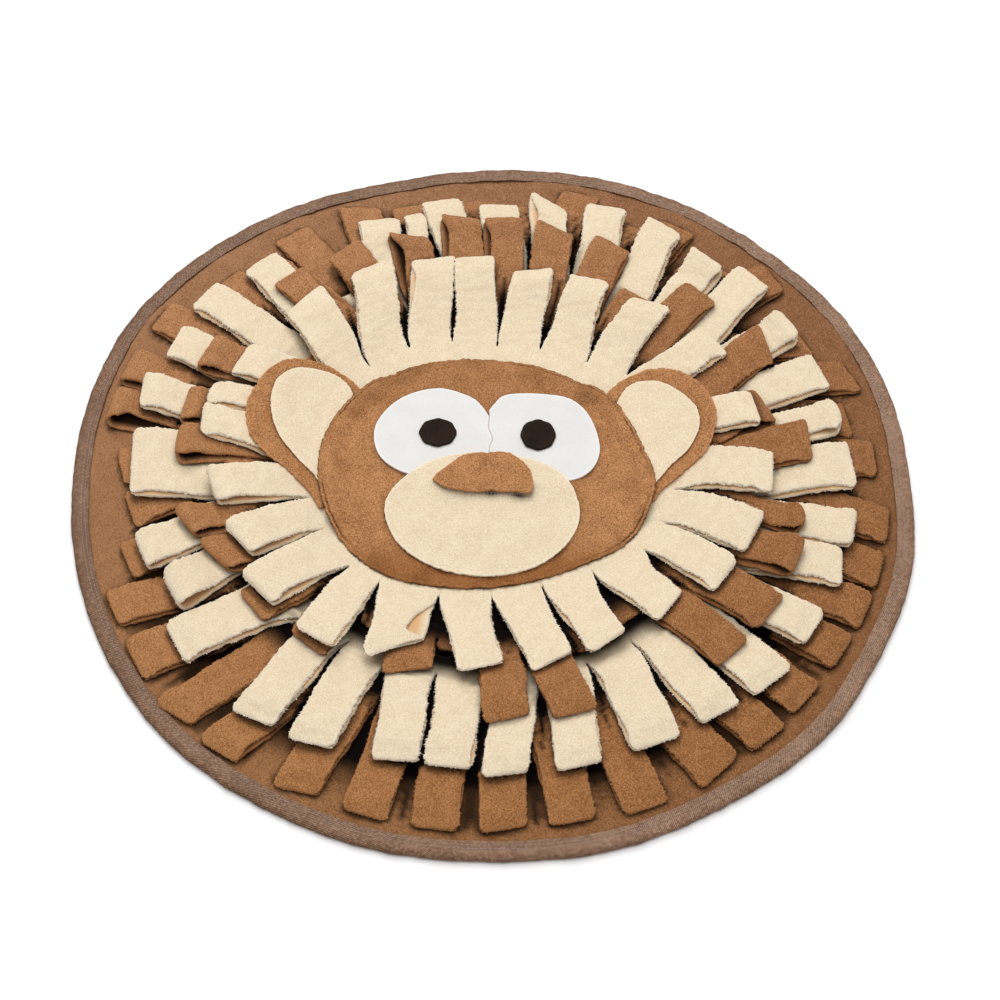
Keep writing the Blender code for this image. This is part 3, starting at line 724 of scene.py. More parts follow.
def loop_surface(ring, index, flat_shares, turns, t, angle, seed):
    """A loop at shares t of its length: its plan, and where its two layers lie.

    The middle line is a cubic from the root, square to it, to the fold.  angle is 90 on
    the upper layer, -90 on the lower, and between them round the fold.  Columns go from
    the left cut edge, with turns round it, over flat_shares to the right one.  Returns the
    plan, the height of the underside, the depth from there to the top, the thickness of
    a layer, how far each column drops at a cut edge, and the way out to the fold.
    """
    loop = ring.loops[index]
    left, right = root_points(ring, index)
    root = (left + right) / 2.0
    across_root = unit(left - right)
    outward = np.array((across_root[1], -across_root[0]))
    tip = polar(loop.reach, loop.tip)
    straight_out = unit(tip)
    across_tip = np.array((-straight_out[1], straight_out[0]))
    length = np.linalg.norm(tip - root)
    along = unit((tip - root) / length + straight_out)
    t = t[:, None]
    run = t * length
    middle = ((2 * t ** 3 - 3 * t ** 2 + 1) * root + (t ** 3 - 2 * t ** 2 + t) * length * outward
              + (3 * t ** 2 - 2 * t ** 3) * tip + (t ** 3 - t ** 2) * length * along)
    turned = smoothstep(t / TURN_SHARE)
    across = (1.0 - turned) * across_root + turned * across_tip
    across /= np.linalg.norm(across, axis=1, keepdims=True)
    wander = waves(np.column_stack((run, angle * 8.0)), WANDER_SIZE, seed)[:, None]
    middle = middle + across * (wander * WANDER * smoothstep((run - SEAM_LENGTH) / WANDER_EASE))

    # Half the width: from the root's to the strip's own, rounded off at the fold's corners.
    root_width = np.linalg.norm(left - right)
    half = (root_width + (loop.width - root_width) * smoothstep(run / STRIP_EASE)) / 2.0
    depth_here = ring_height(ring, loop.reach)[1] + loop.gape
    short = length * (1.0 - t) - FOLD_ROUND * depth_here * np.cos(np.radians(angle))
    half = half - loop.corner * (
        1.0 - np.sqrt(1.0 - np.clip(1.0 - short / loop.corner, 0.0, 1.0) ** 2))

    # The upper layer's near edge is peeled back, and both edges are ragged.
    near = loop.side or -np.sign(straight_out[0])
    near_left, near_right = max(near, 0.0), max(-near, 0.0)
    peel = loop.peel * (abs(straight_out[0]) if loop.peel < WIDE_PEEL else 1.0)
    opening = PEEL_EASE if peel < WIDE_PEEL else PEEL_SHARE * (length - SEAM_LENGTH)
    bare = (smoothstep((run - SEAM_LENGTH) / opening)
            * smoothstep((length * (1.0 - t) - 2.0) / 12.0)
            * np.clip(np.sin(np.radians(angle)), 0.0, 1.0) * (1.0 + 0.10 * wander))
    half_left = half - peel * bare * near_left
    half_right = half - peel * bare * near_right
    edge = LAYER / 2.0
    flat = flat_shares[None] * np.where(flat_shares[None] > 0.0, half_left - edge,
                                        half_right - edge)
    chance = np.random.default_rng(seed)
    ragged = chance.uniform(-1.0, 1.0, (2, len(t))) * chance.uniform(0.3, 1.2, (2, 1))
    ragged *= RAGGED * smoothstep((run[:, 0] - SEAM_LENGTH) / RAGGED_EASE)
    ragged /= 1.0 + np.array((near_left, near_right))[:, None] * max(0.0, peel - PEEL)
    round_left, round_right = (
        half_side - edge + (edge + side[:, None]) * np.sin(turns)[None]
        for half_side, side in zip((half_left, half_right), ragged))
    lateral = np.hstack((round_left, flat, -round_right[:, ::-1]))
    drop = np.hstack((1.0 - np.cos(turns), np.zeros(len(flat_shares)),
                      1.0 - np.cos(turns)[::-1]))[None]
    share = lateral / half
    plan = (middle[:, None] + across[:, None] * lateral[..., None]
            + (straight_out * (loop.skew / 2.0) * turned)[:, None] * share[..., None])

    # Heights: lift, roll and gape set in between the free radii, and closed folds are pressed.
    loose = smoothstep((np.linalg.norm(middle, axis=1)[:, None] - ring.free[0])
                       / (ring.free[1] - ring.free[0]))
    under, depth = ring_height(ring, np.linalg.norm(plan, axis=2))
    low = under + (loop.lift + (abs(loop.roll) + share * loop.roll) / 2.0) * loose
    mouth = MOUTH * max(1.0, loop.gape / 4.0)
    opened = smoothstep((run - length + 5.0 + mouth) / mouth)
    depth = depth + loop.gape * np.maximum(loose, opened)
    if loop.gape == 0.0:
        depth = depth * (1.0 - PRESS * smoothstep(run / 8.0)
                         * smoothstep((run - length + 12.0) / 11.0))
    layer = np.minimum(LAYER, depth / 2.0 - LEAST_GAP)
    return plan, low, depth, layer, drop, straight_out


def loop_mesh(ring, index, seed):
    """Points, faces, marks and rims of one loop, open only at its root.

    The outside runs along the upper layer, round the fold and back along the lower one.
    The hollow does the same one layer further in, and both meet along the cut edges.
    """
    loop = ring.loops[index]
    tip = polar(loop.reach, loop.tip)
    length = np.linalg.norm(tip - sum(root_points(ring, index)) / 2.0)
    depth_at_tip = ring_height(ring, loop.reach)[1] + loop.gape
    seam = SEAM_LENGTH / length
    fold = 1.0 - FOLD_ROUND * depth_at_tip / length
    top_t = np.linspace(seam, fold, max(4, int(length / TOP_STEP)))
    low_t = np.linspace(fold, seam, max(4, int(length / LOW_STEP)))
    fold_angle = np.linspace(90.0, -90.0, FOLD_ROWS + 2)[1:-1]
    before = np.array((0.0, seam / 2.0))
    t = np.concatenate((before, top_t, np.full(FOLD_ROWS, fold), low_t, before[::-1]))
    angle = np.concatenate((np.full(2 + len(top_t), 90.0), fold_angle,
                            np.full(len(low_t) + 2, -90.0)))[:, None]
    first_seam = len(before)
    last_seam = len(t) - 1 - first_seam
    up = np.sin(np.radians(angle))
    out = np.cos(np.radians(angle))

    grids = []
    for flat_shares, turns in ((FLAT_SHARES, OUTER_TURN), (INNER_SHARES, INNER_TURN)):
        plan, low, depth, layer, drop, outward = loop_surface(
            ring, index, flat_shares, turns, t, angle, seed)
        tip_plan, tip_low, tip_depth, *_ = loop_surface(
            ring, index, flat_shares, turns, np.ones(1), np.zeros((1, 1)), seed)
        middle = low + depth / 2.0
        middle = middle + (tip_low + tip_depth / 2.0 - middle) * out
        centre = plan.shape[1] // 2
        reach = plan + (tip_plan - plan)[:, centre:centre + 1] * out[..., None]
        bulge = waves(reach, BULGE_SIZE, seed + 1) * BULGE * np.clip(up, 0.0, 1.0)
        share = np.linspace(1.0, -1.0, plan.shape[1])
        crown = CROWN * (1.0 - share ** 2) * np.clip(up, 0.0, 1.0)
        surface = np.dstack((reach, middle + up * depth / 2.0 + (bulge + crown) * smoothstep(
            t / 0.15)[:, None]))
        inward = -np.dstack([np.broadcast_to(way, middle.shape)
                             for way in (outward[0] * out, outward[1] * out, up)])
        grids.append((surface, inward, layer, drop, middle))

    surface, inward, layer, drop, _ = grids[0]
    outside = surface + inward * (layer / 2.0 * drop)[..., None]
    rows, columns = outside.shape[:2]
    surface, inward, layer, drop, middle = grids[1]
    hollow = surface + inward * (layer - layer / 2.0 * drop)[..., None]
    hollow = hollow[first_seam:last_seam + 1]
    for row in (0, -1):
        hollow[row, :, 2] = middle[first_seam]
    inner_columns = hollow.shape[1]

    points = np.vstack((outside.reshape(-1, 3), hollow.reshape(-1, 3)))
    start = rows * columns
    faces = [grid_faces(rows, columns),
             grid_faces(hollow.shape[0], inner_columns, first=start)[:, ::-1]]
    # Along each side, the wall from the root to where the layers part.
    for column, inner_column in ((0, 0), (columns - 1, inner_columns - 1)):
        top = np.arange(first_seam + 1) * columns + column
        low = (rows - 1 - np.arange(first_seam + 1)) * columns + column
        for k in range(first_seam):
            faces.append([[top[k], top[k + 1], low[k + 1], low[k]]])
        parting = start + inner_column
        faces.append([[top[-1], parting, low[-1]],
                      [top[-1], top[-1] + columns, parting],
                      [low[-1], parting, low[-1] - columns]])

    # Marks: cut edges and the fold get paler fibre ends and painted highlight, hollows and the
    # underside painted shade.
    from_side = np.abs(np.linspace(-1.0, 1.0, columns))
    from_side = np.clip((from_side - 0.6) / 0.3, 0.0, 1.0)[None]
    at_fold = np.clip(1.0 - np.abs(angle - 22.0) / 40.0, 0.0, 1.0)
    at_fold = at_fold * 0.55 * smoothstep((t[:, None] - fold) * length / 1.2 + 1.0)
    edge = np.maximum(np.broadcast_to(from_side, outside.shape[:2]), at_fold)
    from_edge = np.minimum(*(np.linalg.norm(hollow[:, side, :2] - hollow[..., :2], axis=2)
                             for side in (slice(0, 1), slice(-1, None))))
    # painted warm shade in the hollow away from the lower layer's edge, painted shade deep in one
    # that gapes
    inside = smoothstep((from_edge + 0.4 - 0.35 * loop.peel)
                        / (0.9 + 0.25 * max(0.0, loop.peel - PEEL)))
    within = smoothstep((from_edge - 0.6) / 2.4) * (0.92 if loop.gape else 0.0)
    beneath = np.broadcast_to(UNDERSIDE * np.clip(-up, 0.0, 1.0), edge.shape)
    marks = {"edge": np.concatenate((edge.ravel(), np.zeros(inside.size))),
             "inside": np.concatenate((np.zeros(edge.size), inside.ravel())),
             "shade": np.concatenate((beneath.ravel(), within.ravel()))}

    across = outside[:, 0] - outside[:, -1]
    across = across / np.linalg.norm(across, axis=1, keepdims=True)
    ahead = np.broadcast_to((*unit(tip), 0.0), (columns, 3))
    top_end = first_seam + len(top_t)
    top = slice(first_seam, top_end)
    low = slice(top_end + FOLD_ROWS, last_seam)
    rims = [(outside[along, side], way * across[along], pitch, shade)
            for along, pitch, shade in ((top, TOP_PITCH, 0.0), (low, LOW_PITCH, UNDERSIDE))
            for side, way in ((0, 1.0), (-1, -1.0))]
    rims += [(outside[top_end + row], ahead + (0.0, 0.0, 0.6 - 0.2 * row), FOLD_PITCH, 0.0)
             for row in (3, 5)]
    return points, faces, marks, rims


def tufts(rims, seed):
    """Small pointed tufts along rims, each a line of points with the way out of the cloth.

    Each tuft is a tetrahedron whose base lies in the cloth.  Returns its points, faces, and
    the shade of each point.
    """
    draw = np.random.default_rng(seed)
    roots, ways, shades = [], [], []
    for line, way, pitch, shade in rims:
        run = np.append(0.0, np.cumsum(np.linalg.norm(np.diff(line, axis=0), axis=1)))
        at = np.arange(0.5, run[-1], pitch)
        at = at + draw.uniform(-0.5, 0.5, len(at)) * pitch
        roots.append(np.column_stack([np.interp(at, run, column) for column in line.T]))
        ways.append(np.column_stack([np.interp(at, run, column) for column in way.T]))
        shades.append(np.full(4 * len(at), shade))
    roots, ways = np.concatenate(roots), np.concatenate(ways)
    ways = ways / np.linalg.norm(ways, axis=1, keepdims=True)
    ways = ways + draw.normal(size=ways.shape) * TUFT_SPREAD
    ways = ways / np.linalg.norm(ways, axis=1, keepdims=True)
    side = np.cross(ways, draw.normal(size=ways.shape))
    side = side / np.linalg.norm(side, axis=1, keepdims=True)
    other = np.cross(ways, side)
    reach = draw.uniform(0.25, 1.0, len(roots))[:, None] ** 2 * TUFT
    width = draw.uniform(*TUFT_WIDTHS, len(roots))[:, None]
    turn = np.arange(3) * 2.0 * np.pi / 3.0
    corners = [roots - TUFT_ROOT * ways + width * (np.cos(a) * side + np.sin(a) * other)
               for a in turn]
    points = np.stack(corners + [roots + reach * ways], axis=1).reshape(-1, 3)
    one = np.array(((0, 1, 3), (1, 2, 3), (2, 0, 3), (0, 2, 1)))
    faces = (one[None] + 4 * np.arange(len(roots))[:, None, None]).reshape(-1, 3)
    return points, faces, np.concatenate(shades)


def band_mesh(ring):
    """Points, faces and marks of the uncut fleece inside the slits, open at the roots.

    Its outer rows have the roots' own points, and its other rows are those drawn in.
    """
    count = len(ring.loops)
    across = np.arange(count)
    corners = np.array([root_points(ring, index) for index in across])
    half = np.linalg.norm(corners[:, 0] - corners[:, 1], axis=1)[:, None] / 2.0
    edge = LAYER / 2.0
    round_left = half - edge + edge * np.sin(OUTER_TURN)[None]
    lateral = np.hstack((round_left, FLAT_SHARES[None] * (half - edge), -round_left[:, ::-1]))
    middle = corners.mean(axis=1)[:, None]
    direction = (corners[:, 0] - corners[:, 1])[:, None] / (2.0 * half[..., None])
    plan = (middle + direction * lateral[..., None]).reshape(-1, 2)
    radius = np.linalg.norm(plan, axis=1)
    columns = lateral.shape[1]
    drop = np.tile(np.hstack((1.0 - np.cos(OUTER_TURN), np.zeros(len(FLAT_SHARES)),
                              1.0 - np.cos(OUTER_TURN)[::-1])), count)
    rows = []
    for side in (1.0, -1.0):
        shares = np.linspace(0.0, 1.0, 9)
        for share in shares if side > 0.0 else shares[::-1]:
            under, depth = ring_height(ring, radius - ring.band * share)
            layer = np.minimum(LAYER, depth / 2.0 - LEAST_GAP)
            fade = drop * layer / 2.0 * max(0.0, 1.0 - share * ring.band / 4.0)
            height = under + depth - fade if side > 0.0 else under + fade
            drawn = plan * (1.0 - ring.band * share / radius)[:, None]
            rows.append(np.column_stack((drawn, height)))
    points = np.concatenate(rows)
    total = count * columns
    faces = [grid_faces(len(rows), total, closed=True)]
    right = np.arange(count) * columns + columns - 1
    left = (right + 1) % total
    low = (len(rows) - 1) * total
    faces.append(np.column_stack((right, left, low + left, low + right)))
    marks = {key: np.zeros(len(points)) for key in ("edge", "inside", "shade")}
    return points, faces, marks, []


def cloth_cells(rings):
    """A map of cells, 1 where any of the rings' loops lies and 0 elsewhere, softened."""
    cells = np.zeros((MAP_CELLS, MAP_CELLS))
    across = np.linspace(1.1, -1.1, 27)
    for ring in rings:
        for index, loop in enumerate(ring.loops):
            length = np.linalg.norm(
                polar(loop.reach, loop.tip) - sum(root_points(ring, index)) / 2.0)
            t = np.linspace(0.0, 1.0, int(length) + 2)
            plan = loop_surface(ring, index, across, OUTER_TURN[:0], t,
                                np.full((len(t), 1), 90.0), 0)[0].reshape(-1, 2)
            cells[map_places(plan)] = 1.0
    turns = np.fft.fftfreq(MAP_CELLS, MAP_CELL)
    soft = np.exp(-2.0 * (np.pi * MAP_SOFT * turns) ** 2)
    return np.fft.ifft2(np.fft.fft2(cells) * soft[:, None] * soft[None]).real


def map_places(plan):
    """Row and column of the cell under each point of the plan."""
    places = np.clip((plan / MAP_CELL + MAP_CELLS / 2.0).astype(int), 0, MAP_CELLS - 1)
    return places[:, 1], places[:, 0]


def gap_shade(cells, plan, reach):
    """1 in a narrow gap, which has cloth above it at both sides, and 0 in the open.

    Of four directions, the one that counts is the one with most cloth on both sides.
    """
    closed = np.zeros(len(plan))
    for angle in (0.0, 45.0, 90.0, 135.0):
        step = polar(reach, angle)
        sides = [cells[map_places(plan + way * step)] for way in (-1.0, 1.0)]
        closed = np.maximum(closed, np.minimum(*sides))
    return smoothstep((closed - 0.3) / 0.45)


def contact_shade(cells, plan):
    """1 at the edge of the cloth above and 0 about three millimetres away from it."""
    return smoothstep((cells[map_places(plan)] - 0.10) / 0.38)


def deep_shade(ring, points):
    """The darker of a ring's shade at its roots and its shade in gaps between the others."""
    shade = root_shade(ring, points)
    if ring.name in CLOTH_ABOVE:
        plan = points[:, :2] - np.array(SEWN_MIDDLE)
        cells = CLOTH_ABOVE[ring.name]
        shade = np.maximum(shade, ring.gaps * gap_shade(cells, plan, GAP_REACH))
        shade = np.maximum(shade, CONTACT * ring.gaps * contact_shade(cells, plan))
    return shade


def add_ring(ring, material, node, seed):
    """All of a ring's loops and its band, as one piece, cut from one belt of fleece."""
    parts = [band_mesh(ring)]
    parts += [loop_mesh(ring, index, seed + index) for index in range(len(ring.loops))]
    grids, faces, marks, rims = zip(*parts)
    points = np.concatenate(grids) + SEWN_SHIFT
    starts = np.cumsum([0] + [len(grid) for grid in grids])
    faces = [np.asarray(face) + start for group, start in zip(faces, starts) for face in group]
    marks = {key: np.concatenate([group[key] for group in marks]) for key in marks[0]}
    marks["shade"] = np.maximum(ring.hollow * marks["shade"], deep_shade(ring, points))
    piece = add_piece(ring.name, points, faces, material, (node,), nap=0.16, curl=7.0,
                      marks=marks)
    # tufts take the edge colour, paler fibre ends with a painted highlight, and painted shade on
    # the lower layer
    points, faces, shade = tufts(sum(rims, []), seed)
    points = points + SEWN_SHIFT
    fuzz = add_piece(
        ring.name + "_fuzz", points, (faces,), material,
        marks={"edge": np.ones(len(points)),
               "shade": np.maximum(ring.hollow * shade, deep_shade(ring, points))})
    fuzz.data.shade_flat()
    free = np.mean([loop.reach for loop in ring.loops]) - np.mean(
        [radius for _, radius in ring.slits])
    (2.0 * free + ring.band) * MM


OUTER_BROWN = Ring(
    name="strips_outer_brown", band=11.0,
    slits=even_slits(313.1, 39, 163.0, ((13, 187.0), (14, 178.5), (15, 171.0))),
    heights=((152, 2.7, 4.2), (163, 2.7, 4.2), (188, 2.7, 5.0), (215, 2.8, 5.2),
             (231, 4.1, 5.4), (242, 4.4, 5.4)),
    free=(214.0, 232.0), shade=(160.0, 178.0), gaps=1.0, hollow=1.0,
    loops=(
        Loop(309.9, 235), Loop(301.4, 235.5, skew=-5, width=28), Loop(290.4, 237),
        Loop(280.6, 234), Loop(271.5, 234.5, skew=-3), Loop(262.5, 236), Loop(253.3, 236),
        Loop(243.4, 236.5, skew=-5), Loop(231.8, 240, skew=-2, lift=1),
        Loop(223.4, 240.5, skew=-5), Loop(213.5, 238.7, skew=2, width=28.5), Loop(204.5, 236),
        Loop(197, 220, skew=-3, width=26), Loop(187.6, 214, skew=-5, width=26),
        Loop(179.4, 220.5, skew=-6), Loop(169.3, 234, gape=7, peel=8),
        Loop(161.3, 236, gape=3, peel=3), Loop(150.4, 238), Loop(138.8, 224), Loop(131.6, 212),
        Loop(124.7, 227), Loop(112.6, 227, skew=9), Loop(104, 218), Loop(92.5, 216), Loop(84, 212),
        Loop(75.3, 229), Loop(66, 214), Loop(58, 227), Loop(48.5, 215), Loop(40, 233, skew=4),
        Loop(26.8, 217), Loop(17.5, 231, skew=-3), Loop(9.8, 218), Loop(2, 228), Loop(350, 234),
        Loop(342, 234), Loop(334.8, 234), Loop(327.2, 233), Loop(318, 233),
    ))

OUTER_CREAM = Ring(
    name="strips_outer_cream",
    slits=tuple((bearing, 143.0) for bearing in (
        311, 303.2, 291.6, 280.5, 269.5, 257.6, 246.8, 236, 226.3, 208.5, 195.5, 190.5,
        171.5, 161, 151, 139.5, 131, 121, 111, 101, 91, 81, 71, 61, 51, 41, 32.5, 22, 13, 1.5,
        -9.3, 341, 331, 323)),
    band=11.0,
    heights=((132, 2.7, 4.2), (143, 3.0, 4.2), (152, 7.5, 4.4), (163, 8.3, 5.2),
             (188, 10.5, 5.4), (220, 12.6, 5.8)),
    free=(192.0, 212.0), shade=(133.0, 147.0), gaps=0.5, hollow=0.0,
    loops=(
        Loop(306.4, 210, skew=2), Loop(295.6, 207.5, skew=2, width=28), Loop(283.2, 206.5),
        Loop(272, 206, skew=-2), Loop(263.3, 202.5), Loop(255.2, 204, skew=-4),
        Loop(242.3, 211.5, skew=-5), Loop(232.8, 216, skew=-5),
        Loop(215.5, 216, skew=3, width=28.5), Loop(207.3, 203.5, width=26, gape=8),
        Loop(197.9, 211, skew=-2, gape=2), Loop(180, 212.5, width=46.5, skew=-2),
        Loop(166.4, 217, skew=-4, lift=3), Loop(154.9, 215.5, skew=-2, corner=1.2, peel=0.4),
        Loop(144.5, 221), Loop(133.5, 214), Loop(126, 160), Loop(110.9, 205.5, skew=5),
        Loop(104.4, 203, width=13), Loop(99, 209, lift=2), Loop(88.8, 205),
        Loop(79.9, 209.5, skew=8, roll=4, peel=5.5, side=1), Loop(69.6, 216, skew=-2),
        Loop(59.2, 217, skew=3), Loop(48.3, 206.5, gape=5, roll=3, peel=3.5),
        Loop(40.8, 218.5, width=26), Loop(28.8, 211, gape=4, corner=7, peel=3),
        Loop(18.5, 211.5, skew=-1, width=27),
        Loop(8.7, 211, gape=3.5, corner=9, peel=4, width=23.5),
        Loop(-0.7, 212.5, skew=-3, width=32), Loop(346.8, 214.5, gape=2),
        Loop(339.4, 213, skew=-5), Loop(327.4, 214), Loop(316, 215, skew=3, width=28),
    ))

INNER_BROWN = Ring(
    name="strips_inner_brown", slits=even_slits(320.95, 33, 121.0), band=8.0,
    heights=((112, 2.7, 4.2), (120, 3.6, 4.2), (132, 8.2, 4.4), (143, 11.0, 4.8),
             (152, 13.1, 5.2), (163, 14.7, 5.4), (190, 17.2, 5.8)),
    free=(176.0, 190.0), shade=(113.0, 134.0), gaps=1.0, hollow=1.0,
    loops=(
        Loop(314.8, 189), Loop(305.4, 131.5, width=21), Loop(294, 138, width=23), Loop(284.8, 177),
        Loop(272.6, 174.5, skew=-4), Loop(261, 128, width=22), Loop(251.6, 150, skew=-12),
        Loop(240.5, 131, width=20), Loop(231, 163), Loop(217.4, 169.5),
        Loop(204, 173.6, skew=-8, gape=2, peel=2.5),
        Loop(195.4, 183.5, skew=-7, gape=4.5, peel=4, width=21.5), Loop(185.5, 158),
        Loop(178, 186, gape=6, peel=4.5, corner=6, width=24), Loop(169, 187, gape=4, peel=3.5),
        Loop(156.5, 190, gape=4, peel=3), Loop(141, 138, width=22),
        Loop(132.3, 188.5, skew=1, lift=1, peel=6, side=-1), Loop(120, 187, skew=-4, lift=1),
        Loop(107.5, 178, skew=12, gape=6, peel=7, side=1),
        Loop(96.3, 187, skew=6, gape=4, peel=5, side=1), Loop(87.8, 185, gape=4, peel=5, side=1),
        Loop(77.3, 185, skew=8), Loop(65.2, 184, skew=5), Loop(54.5, 156, width=22), Loop(44, 182),
        Loop(33, 136, width=19), Loop(26.8, 188, skew=5, roll=3, width=28),
        Loop(12.2, 168, skew=-5, gape=4, peel=4, width=26), Loop(3.5, 188, roll=3, width=28),
        Loop(345.2, 186, gape=3, width=18, corner=8), Loop(337, 189, gape=4.5, peel=3),
        Loop(325.3, 189.5, skew=1, width=27),
    ))

INNER_CREAM = Ring(
    name="strips_inner_cream",
    slits=((325.5, 107), (308, 94), (289, 88), (270, 90), (251.5, 95), (232, 104),
           (221, 108), (205, 108), (192.5, 109), (181, 109), (169.5, 109), (158, 109),
           (146.5, 109), (135, 106), (119.5, 103), (104.5, 98), (88, 92), (71.5, 94),
           (53.5, 98), (39.5, 107), (23, 109), (7, 109), (350.5, 109), (337.5, 108)),
    band=24.0,
    heights=((66, 2.7, 4.2), (92, 4.8, 4.2), (108, 7.1, 4.2), (112, 8.2, 4.3),
             (120, 10.6, 4.6), (132, 14.4, 5.2), (143, 17.6, 5.4), (152, 20.0, 5.6),
             (163, 21.8, 5.8), (178, 23.2, 5.8)),
    free=(118.0, 150.0), shade=(0.0, 1.0), gaps=0.0, hollow=0.0,
    loops=(
        Loop(313.7, 144.5, skew=-4), Loop(296.8, 142.5, skew=-4), Loop(283.4, 144, skew=-7),
        Loop(267.6, 144, skew=-7, lift=1, peel=2.1),
        Loop(247.3, 143, skew=-24, roll=-3, corner=4, peel=10),
        Loop(232.2, 160.5, skew=-2, lift=1),
        Loop(216.3, 163.5, skew=-3, gape=2, peel=2.4, width=28), Loop(203.5, 158, skew=-7, gape=3),
        Loop(189, 164.5, skew=-4, gape=2), Loop(172.1, 173.5, skew=-2, width=22.5),
        Loop(165.6, 174.5, width=16.5, corner=4), Loop(155.4, 167.5),
        Loop(135.2, 165, skew=-2, width=30.5, peel=0.4), Loop(117.7, 162.5, skew=-1, width=28.5),
        Loop(104, 155.5, skew=2, width=27, peel=3, side=1), Loop(94.2, 153),
        Loop(79.6, 146, skew=-6), Loop(65.6, 148.5, skew=-3, lift=1),
        Loop(49.3, 151.5, skew=-7, lift=1, peel=0.4), Loop(31.7, 160.5), Loop(11.7, 161, width=24),
        Loop(354.4, 164.2, lift=1, width=29, corner=1.5), Loop(339, 161, skew=3, roll=2, width=28),
        Loop(326.5, 158, skew=1, lift=2),
    ))

MAP_CELL = 1.25             # size of a cell of the maps of where cloth lies
MAP_CELLS = 420
MAP_SOFT = 2.5              # how far their edges are softened
GAP_REACH = 6.5             # how far to each side a gap's walls are looked for
CONTACT = 0.5               # shade beside the cloth above, as a share of that in gaps
BASE_GAP_REACH = 8.0        # how far a gap's walls are looked for over the base
BASE_GAPS = 0.9             # the most shade that the base has in gaps
BASE_CONTACT = 0.72         # its shade beside the cloth that lies on it
BASE_RIM_GAPS = 0.35        # the most that it has in gaps near its rim
BASE_GAPS_FADE = 206.0      # distance from the middle from which it gets less
BASE_GAPS_EASE = 22.0       # and the distance over which it does
BASE_GAPS_LEAN = 0.1        # how much nearer it does so for each millimetre of Y
CLOTH_ABOVE = {
    "base_cloth": cloth_cells((OUTER_BROWN, OUTER_CREAM, INNER_BROWN, INNER_CREAM)),
    OUTER_BROWN.name: cloth_cells((OUTER_CREAM, INNER_BROWN, INNER_CREAM)),
    OUTER_CREAM.name: cloth_cells((INNER_BROWN, INNER_CREAM)),
    INNER_BROWN.name: cloth_cells((INNER_CREAM,)),
}


def shade_base():
    """Shade the base in gaps and beside the cloth on it, but less in gaps near its rim."""
    mesh = bpy.data.objects["base_cloth"].data
    plan = np.empty(len(mesh.vertices) * 3, dtype=np.float32)
    mesh.vertices.foreach_get("co", plan)
    plan = plan.reshape(-1, 3)[:, :2] / MM - np.array(SEWN_MIDDLE)
    shade = np.empty(len(plan), dtype=np.float32)
    mesh.attributes["shade"].data.foreach_get("value", shade)
    cells = CLOTH_ABOVE["base_cloth"]
    away = np.linalg.norm(plan, axis=1) + BASE_GAPS_LEAN * plan[:, 1]
    gaps = gap_shade(cells, plan, BASE_GAP_REACH)
    gaps *= BASE_GAPS - (BASE_GAPS - BASE_RIM_GAPS) * smoothstep(
        (away - BASE_GAPS_FADE) / BASE_GAPS_EASE)
    shade = np.maximum.reduce((shade, gaps, BASE_CONTACT * contact_shade(cells, plan)))
    mesh.attributes["shade"].data.foreach_set("value", shade.astype(np.float32))


shade_base()
add_ring(OUTER_BROWN, brown_fleece, "fringe_outer_brown", 100)
add_ring(OUTER_CREAM, cream_fleece, "fringe_outer_cream", 200)
add_ring(INNER_BROWN, brown_fleece, "fringe_inner_brown", 300)
add_ring(INNER_CREAM, cream_fleece, "fringe_inner_cream", 400)


# ---------------------------------------------------------------- ears
# Two brown fleece ears, tucked under the face, each with a smaller cream piece sewn on.

REST = 0.35                 # gap under a piece that lies on a curved one
EAR_CLEARANCE = 1.0         # of an ear over the strips below it
PIECE = 2.0                 # thickness of the face's and the ears' fleece
FELT = 1.6                  # thickness of the eyes and the inner ears

LEFT_EAR = ((-79, 53), (-93, 66), (-109, 70), (-124, 68), (-135, 58.5), (-141, 47),
            (-145.5, 34), (-145, 21), (-140.5, 8.5), (-130, -2), (-121, -7.5), (-108, -20),
            (-99, -33), (-96, -18), (-96.5, 8), (-87, 36))
RIGHT_EAR = ((69, 50), (80, 62), (97, 67), (115, 61), (128.5, 46), (133.5, 27), (127, 5),
             (113, -8), (100, -19), (93.5, -27), (91, -12), (86, 10), (76.5, 33))
LEFT_INNER_EAR = ((-84, 50), (-91.5, 60.5), (-103, 63.5), (-117, 62.5), (-127, 55),
                  (-131, 45), (-131.5, 33), (-128.5, 20), (-123.5, 10.5), (-114, -0.5),
                  (-105, -9.5), (-101, -14.5), (-97, -6), (-96.5, 12), (-88, 36))
RIGHT_INNER_EAR = ((75, 42), (81, 54), (90, 58.5), (102, 56), (113, 47), (122, 34),
                   (123, 20), (116, 6), (106, -3), (98, -13), (93.5, -16), (90, -4), (85, 15),
                   (78, 30))


def ring_top(ring, radius):
    """Height of the top of a ring's loops at a radius."""
    under, depth = ring_height(ring, radius)
    return under + depth


def nearest(plan, outline):
    """Distance of each point of the plan from an outline."""
    return np.concatenate([
        np.linalg.norm(part[:, None] - outline[None, ::4], axis=2).min(axis=1)
        for part in np.array_split(plan.astype(np.float32), 12)])


def ear_under(plan):
    """An ear lies a little clear of the inner ring."""
    return ring_top(INNER_CREAM, np.linalg.norm(plan, axis=-1)) + EAR_CLEARANCE


def inner_ear_under(plan):
    """An inner ear lies a little clear of its ear."""
    return ear_under(plan) + PIECE + REST


